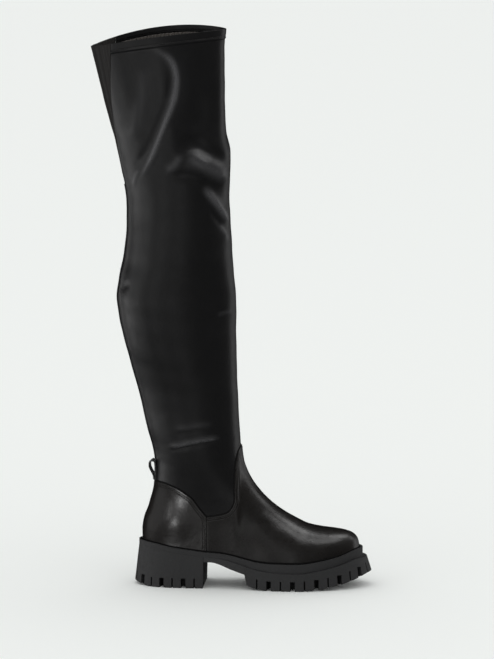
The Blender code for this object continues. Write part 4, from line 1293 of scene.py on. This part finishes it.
def edge_points(spread, height, back, front, x):
    """Outer and inner points of a sole edge at places along the sole."""
    spread = spread(x) if callable(spread) else spread
    along = (x - back) / (front - back)
    middle = plan_middle(along)
    outer = middle - plan_half_width(along, True, spread)
    inner = middle + plan_half_width(along, False, spread)
    z = height(x)
    return np.stack((x, outer, z), axis=-1), np.stack((x, inner, z), axis=-1)


def slab(name, edges, shares, finish, slot):
    """A sole piece lofted along the foot through its edges, from the top to the underside.

    Each edge is (spread, height, back, front, start, stop).
    """
    rings = np.array([edge_points(*edge[:4], edge[4] + shares * (edge[5] - edge[4]))
                      for edge in edges])
    ids = np.arange(rings[..., 0].size).reshape(rings.shape[:3])
    outer, inner = ids[:, 0], ids[:, 1]
    closed = np.abs(rings[:, 0, :, 1] - rings[:, 1, :, 1]) < 1e-6
    inner[closed] = outer[closed]
    return add_object(name, rings.reshape(-1, 3), wall_faces(outer, inner), finish, slot)


def whole_edge(spread, height):
    """An edge for slab that runs along the whole foot, let out evenly by spread."""
    back, front = HEEL_X - spread, TOE_X + spread
    return spread, height, back, front, back, front


def round_shares(count):
    """Shares from 0 to 1, close together at both ends."""
    return (1.0 - np.cos(math.pi * np.arange(count + 1) / count)) / 2.0


def build_midsole(finish):
    """The band under the upper, with its rim."""
    clear = RIM_SPREAD - RIM_WIDTH
    edges = [whole_edge(*edge) for edge in ((clear, platform), (clear, rim_top),
                                            (RIM_SPREAD, rim_top), (RIM_SPREAD, band_bottom))]
    made = slab("midsole_band", edges, round_shares(110), finish, "sole_rubber")
    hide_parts("midsole")
    return bevel_free_edges(made, 0.0007, is_joint)


def build_insole(finish):
    """The lined inner sole inside the upper."""
    spread = -WALL - INSOLE_CLEARANCE
    edges = (whole_edge(spread, lambda x: feather(x) + INSOLE_THICKNESS),
             whole_edge(spread, feather))
    made = slab("sock", edges, round_shares(80), finish, "lining")
    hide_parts("insole")
    return bevel(made, 0.0006)


def tread_bottom(x):
    """Height of the outsole's underside, with the step where the tread starts."""
    waist_x = WAIST_UNDER["along"] * SOLE_LENGTH
    waist_x[-1] = TREAD_START_X
    tread_x = TREAD_UNDER["along"] * SOLE_LENGTH
    tread_x[0] = TREAD_START_X + TREAD_STEP_LENGTH
    waist = smooth(waist_x, WAIST_UNDER["waist"] * FOREFOOT_HEIGHT, x)
    tread = smooth(tread_x, TREAD_UNDER["spring"] * TOE_SPRING, x)
    share = np.clip((x - TREAD_START_X) / TREAD_STEP_LENGTH, 0.0, 1.0)
    return waist + share * (tread - waist)


def heel_bottom(x):
    """Height of the heel's underside, lifted at its back edge."""
    return HEEL_BACK_LIFT * np.clip(1.0 - x / HEEL_LIFT_LENGTH, 0.0, 1.0)


def notch_boxes(bottom, stations, pitch, first_share, reach_limit):
    """Points and faces of the boxes that cut wide and narrow notches by turns round an edge."""
    vertices = []
    faces = []
    for path in edge_points(*bottom, stations):
        walked = walk(path[:, :2])
        count = int((walked[-1] - 0.5 * pitch) / pitch)
        for number in range(count + 1):
            place = (number + first_share) * pitch
            if place > walked[-1] - 0.3 * pitch:
                continue
            is_wide = number % 2 == 1
            width = WIDE_NOTCH if is_wide else NARROW_NOTCH
            reach = min(WIDE_REACH if is_wide else NARROW_REACH, reach_limit)
            spot, ahead, behind = read_path((place, place + MM, place - MM), walked, path)
            along = (ahead - behind)[:2]
            along /= np.linalg.norm(along)
            inward = np.array((-along[1], along[0]))
            if inward[1] * (plan_middle(0.5) - spot[1]) < 0.0:
                inward = -inward
            first = len(vertices)
            for z in (spot[2] - 0.02, spot[2] + NOTCH_DEPTH):
                for depth, side in ((-0.01, -0.5), (-0.01, 0.5), (reach, 0.5), (reach, -0.5)):
                    corner = spot[:2] + inward * depth + along * side * width
                    vertices.append((corner[0], corner[1], z))
            low, high = np.arange(first, first + 8).reshape(2, 4)
            faces += [low.tolist(), high.tolist()]
            faces += np.stack((low, np.roll(low, -1), np.roll(high, -1), high), axis=-1).tolist()
    return vertices, faces


def cut(block, name, vertices, faces):
    """Cut boxes out of a sole piece and drop the cutter."""
    cutter = add_object(name, vertices, faces, block.data.materials[0], "sole_rubber")
    change = block.modifiers.new(name, "BOOLEAN")
    change.operation = "DIFFERENCE"
    change.object = cutter
    graph = bpy.context.evaluated_depsgraph_get()
    mesh = bpy.data.meshes.new_from_object(block.evaluated_get(graph))
    block.modifiers.remove(change)
    block.data = mesh
    bpy.data.objects.remove(cutter)


def is_joint(x, z):
    """Whether a place is on the hidden joint of band, heel and waist."""
    return x < TREAD_START_X and abs(z - float(band_bottom(x))) < 0.0004


def finish_tread(made, node):
    """Round a lugged block's edges and let it stand for its node."""
    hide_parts(node)
    bevel_free_edges(made, 0.0005, is_joint)
    sharp = made.modifiers.new("flat_faces", "WEIGHTED_NORMAL")
    sharp.keep_sharp = True
    return made


def ledge(x):
    """Spread of the outsole's upper edge, which runs out towards the heel."""
    return RIM_SPREAD + LEDGE * (0.1 + 0.9 * ease((x - BREAST_X) / (TREAD_START_X - BREAST_X)))


def build_outsole(finish):
    """The waist and the lugged forefoot tread."""
    start = BREAST_X + 0.00005
    top_front = TOE_X + RIM_SPREAD + TOE_LEDGE
    sole_top = lambda x: band_bottom(x) - 0.0001
    bottom = (lambda x: ledge(x) + SIDE_FLARE, tread_bottom, 0.0, SOLE_LENGTH)
    top = (ledge, sole_top, HEEL_X - RIM_SPREAD, top_front, start, top_front)
    toe = 0.55 + 0.45 * np.sin(math.pi / 2.0 * np.arange(1, 41) / 40)
    shares = np.concatenate((np.linspace(0.0, 0.55, 61), toe))
    step = (np.array((TREAD_START_X, TREAD_START_X + TREAD_STEP_LENGTH)) - start) / (SOLE_LENGTH - start)
    shares = np.unique(np.concatenate((shares, step)))
    made = slab("outsole_tread", (top, (*bottom, start, SOLE_LENGTH)), shares, finish, "sole_rubber")
    stations = np.linspace(TREAD_START_X + TREAD_STEP_LENGTH, SOLE_LENGTH, 160)
    boxes = notch_boxes(bottom, stations, LUG_PITCH, TREAD_FIRST_NOTCH, 0.32 * BALL_WIDTH)
    cut(made, "tread_cutter", *boxes)
    return finish_tread(made, "outsole")


def build_heel(finish):
    """The lugged heel block."""
    stop = BREAST_X - 0.00005
    bottom = (RIM_SPREAD + SIDE_FLARE, heel_bottom, 0.0, TOE_X + RIM_SPREAD + SIDE_FLARE)
    top = (RIM_SPREAD, lambda x: band_bottom(x) - 0.0001, HEEL_X - RIM_SPREAD, TOE_X + RIM_SPREAD,
           HEEL_X - RIM_SPREAD, stop)
    shares = 1.0 - np.cos(math.pi / 2.0 * np.arange(61) / 60)
    made = slab("heel_block", (top, (*bottom, 0.0, stop - BREAST_SLANT)), shares, finish,
                "sole_rubber")
    stations = np.linspace(BREAST_X - BREAST_SLANT, 0.0, 120)
    boxes = notch_boxes(bottom, stations, HEEL_LUG_PITCH, HEEL_FIRST_NOTCH, 0.16 * BALL_WIDTH)
    cut(made, "heel_cutter", *boxes)
    return finish_tread(made, "heel")


# Camera: it looks a little down, from slightly ahead of the boot's side
CAMERA_DISTANCE = 6.0
CAMERA_AZIMUTH = 4.0
CAMERA_ELEVATION = 8.0
CAMERA_TARGET = np.array((0.13439, 0.0, 0.30714))
CAMERA_LENS = 275.5

LIGHT_DISTANCE = 2.4
LIGHT_TARGET = np.array((0.0, 0.0, 0.30))
AIR_STRENGTH = 1.03


def aim(thing, target, distance, azimuth, elevation):
    """Stand a camera or a light off from its target, by angles in degrees, and turn it there."""
    turn, rise = math.radians(azimuth), math.radians(elevation)
    back = np.array((math.sin(turn) * math.cos(rise), -math.cos(turn) * math.cos(rise),
                     math.sin(rise)))
    thing.location = target + back * distance
    thing.rotation_euler = (math.pi / 2.0 - rise, 0.0, turn)
    bpy.context.scene.collection.objects.link(thing)


def build_camera():
    """The photograph's view."""
    data = bpy.data.cameras.new("camera")
    data.lens = CAMERA_LENS
    data.sensor_width = 36.0
    data.clip_end = 50.0
    camera = bpy.data.objects.new("camera", data)
    aim(camera, CAMERA_TARGET + SHIFT, CAMERA_DISTANCE, CAMERA_AZIMUTH, CAMERA_ELEVATION)
    bpy.context.scene.camera = camera


def build_stage():
    """A wide pale floor, and pale air that lights it and shows behind the boot in every view.

    Shiny surfaces mirror neither of them, as in a dark studio, but only the soft boxes.
    """
    paper = Shader("stage_paper", (0.93, 0.935, 0.93), 0.9)
    mesh = bpy.data.meshes.new("floor")
    half = 60.0
    corners = ((-half, -half, 0.0), (half, -half, 0.0), (half, half, 0.0), (-half, half, 0.0))
    mesh.from_pydata(corners, [], [(0, 1, 2, 3)])
    mesh.materials.append(paper.material)
    floor = bpy.data.objects.new("floor", mesh)
    floor.visible_glossy = False
    bpy.context.scene.collection.objects.link(floor)
    world = bpy.data.worlds.new("studio")
    world.use_nodes = True
    air = world.node_tree.nodes["Background"].inputs
    air["Color"].default_value = (0.955, 0.975, 0.96, 1.0)
    air["Strength"].default_value = AIR_STRENGTH
    world.cycles_visibility.glossy = False
    bpy.context.scene.world = world


def add_light(receivers, name, radiance, width, height, azimuth, elevation):
    """A soft box at an azimuth and elevation round the boot, in degrees."""
    data = bpy.data.lights.new(name, "AREA")
    data.shape = "RECTANGLE"
    data.size = width
    data.size_y = height
    data.energy = radiance * math.pi * width * height
    light = bpy.data.objects.new(name, data)
    aim(light, LIGHT_TARGET, LIGHT_DISTANCE, azimuth, elevation)
    light.light_linking.receiver_collection = receivers
    light.light_linking.blocker_collection = BOOT
    light.visible_camera = False


# Soft boxes: what they light, name, radiance, width, height, azimuth and elevation in degrees
LIGHTS = (
    (BOOT, "overhead", 0.60, 1.60, 1.60, 0.0, 85.0),
    (BOOT, "back_top", 3.60, 0.90, 0.90, 120.0, 60.0),
    (BOOT, "right_top", 2.80, 0.90, 0.90, 60.0, 60.0),
    (BOOT, "right_upper", 1.40, 0.80, 0.80, 112.0, 32.0),
    (BOOT, "front_upper", 1.35, 0.80, 0.80, -25.0, 32.0),
    (BOOT, "front", 0.45, 0.65, 1.60, 2.0, 0.0),
    (BOOT, "right_strip", 1.05, 0.65, 1.60, 110.0, 0.0),
    (BOOT, "right_wide", 0.50, 0.65, 1.60, 125.0, 0.0),
    (BOOT, "back_right", 0.35, 0.65, 1.20, 145.0, -7.0),
    (BODY, "front_left", 0.65, 0.65, 1.60, -26.0, 0.0),
    (BODY, "left_front", 0.85, 0.65, 1.60, -55.0, 0.0),
    (BODY, "left_high", 0.70, 0.80, 0.80, -80.0, 10.0),
    (BODY, "left_wide", 0.80, 0.80, 0.90, -66.0, -11.0),
    (BODY, "left_low", 1.70, 1.30, 0.90, -90.0, -11.0),
    (BODY, "back_left", 0.80, 0.65, 1.20, -125.0, -7.0),
    (COUNTER, "counter_left", 0.42, 1.60, 1.60, -78.0, 0.0),
    (COUNTER, "counter_key_high", 4.20, 0.46, 0.50, -44.0, 9.0),
    (COUNTER, "counter_key_low", 12.00, 0.42, 0.60, -25.0, -9.0),
)


build_camera()
build_stage()
for values in LIGHTS:
    add_light(*values)
bpy.context.scene.view_settings.view_transform = "Standard"

STRETCH = stretch_leather()
FOOT_LEATHER = foot_leather()
RUBBER = sole_rubber()
KNIT = lining_knit()
THREAD = waxed_thread()
MATT_BLACK_AND_SHADE = matt_black_and_painted_shade()

build_shaft(STRETCH)
build_lining(KNIT)
build_vamp(FOOT_LEATHER)
build_counter(FOOT_LEATHER)
build_seam_stitches(THREAD)
build_collar_stitches(THREAD, MATT_BLACK_AND_SHADE)
build_bar_tacks(THREAD)
build_seam_shade_strips(MATT_BLACK_AND_SHADE)
build_feather_shade_line(MATT_BLACK_AND_SHADE)
build_strip(STRETCH)
build_gore(gore_elastic())
build_pull_loop(loop_webbing())
build_insole(KNIT)
build_midsole(RUBBER)
build_outsole(RUBBER)
build_heel(RUBBER)
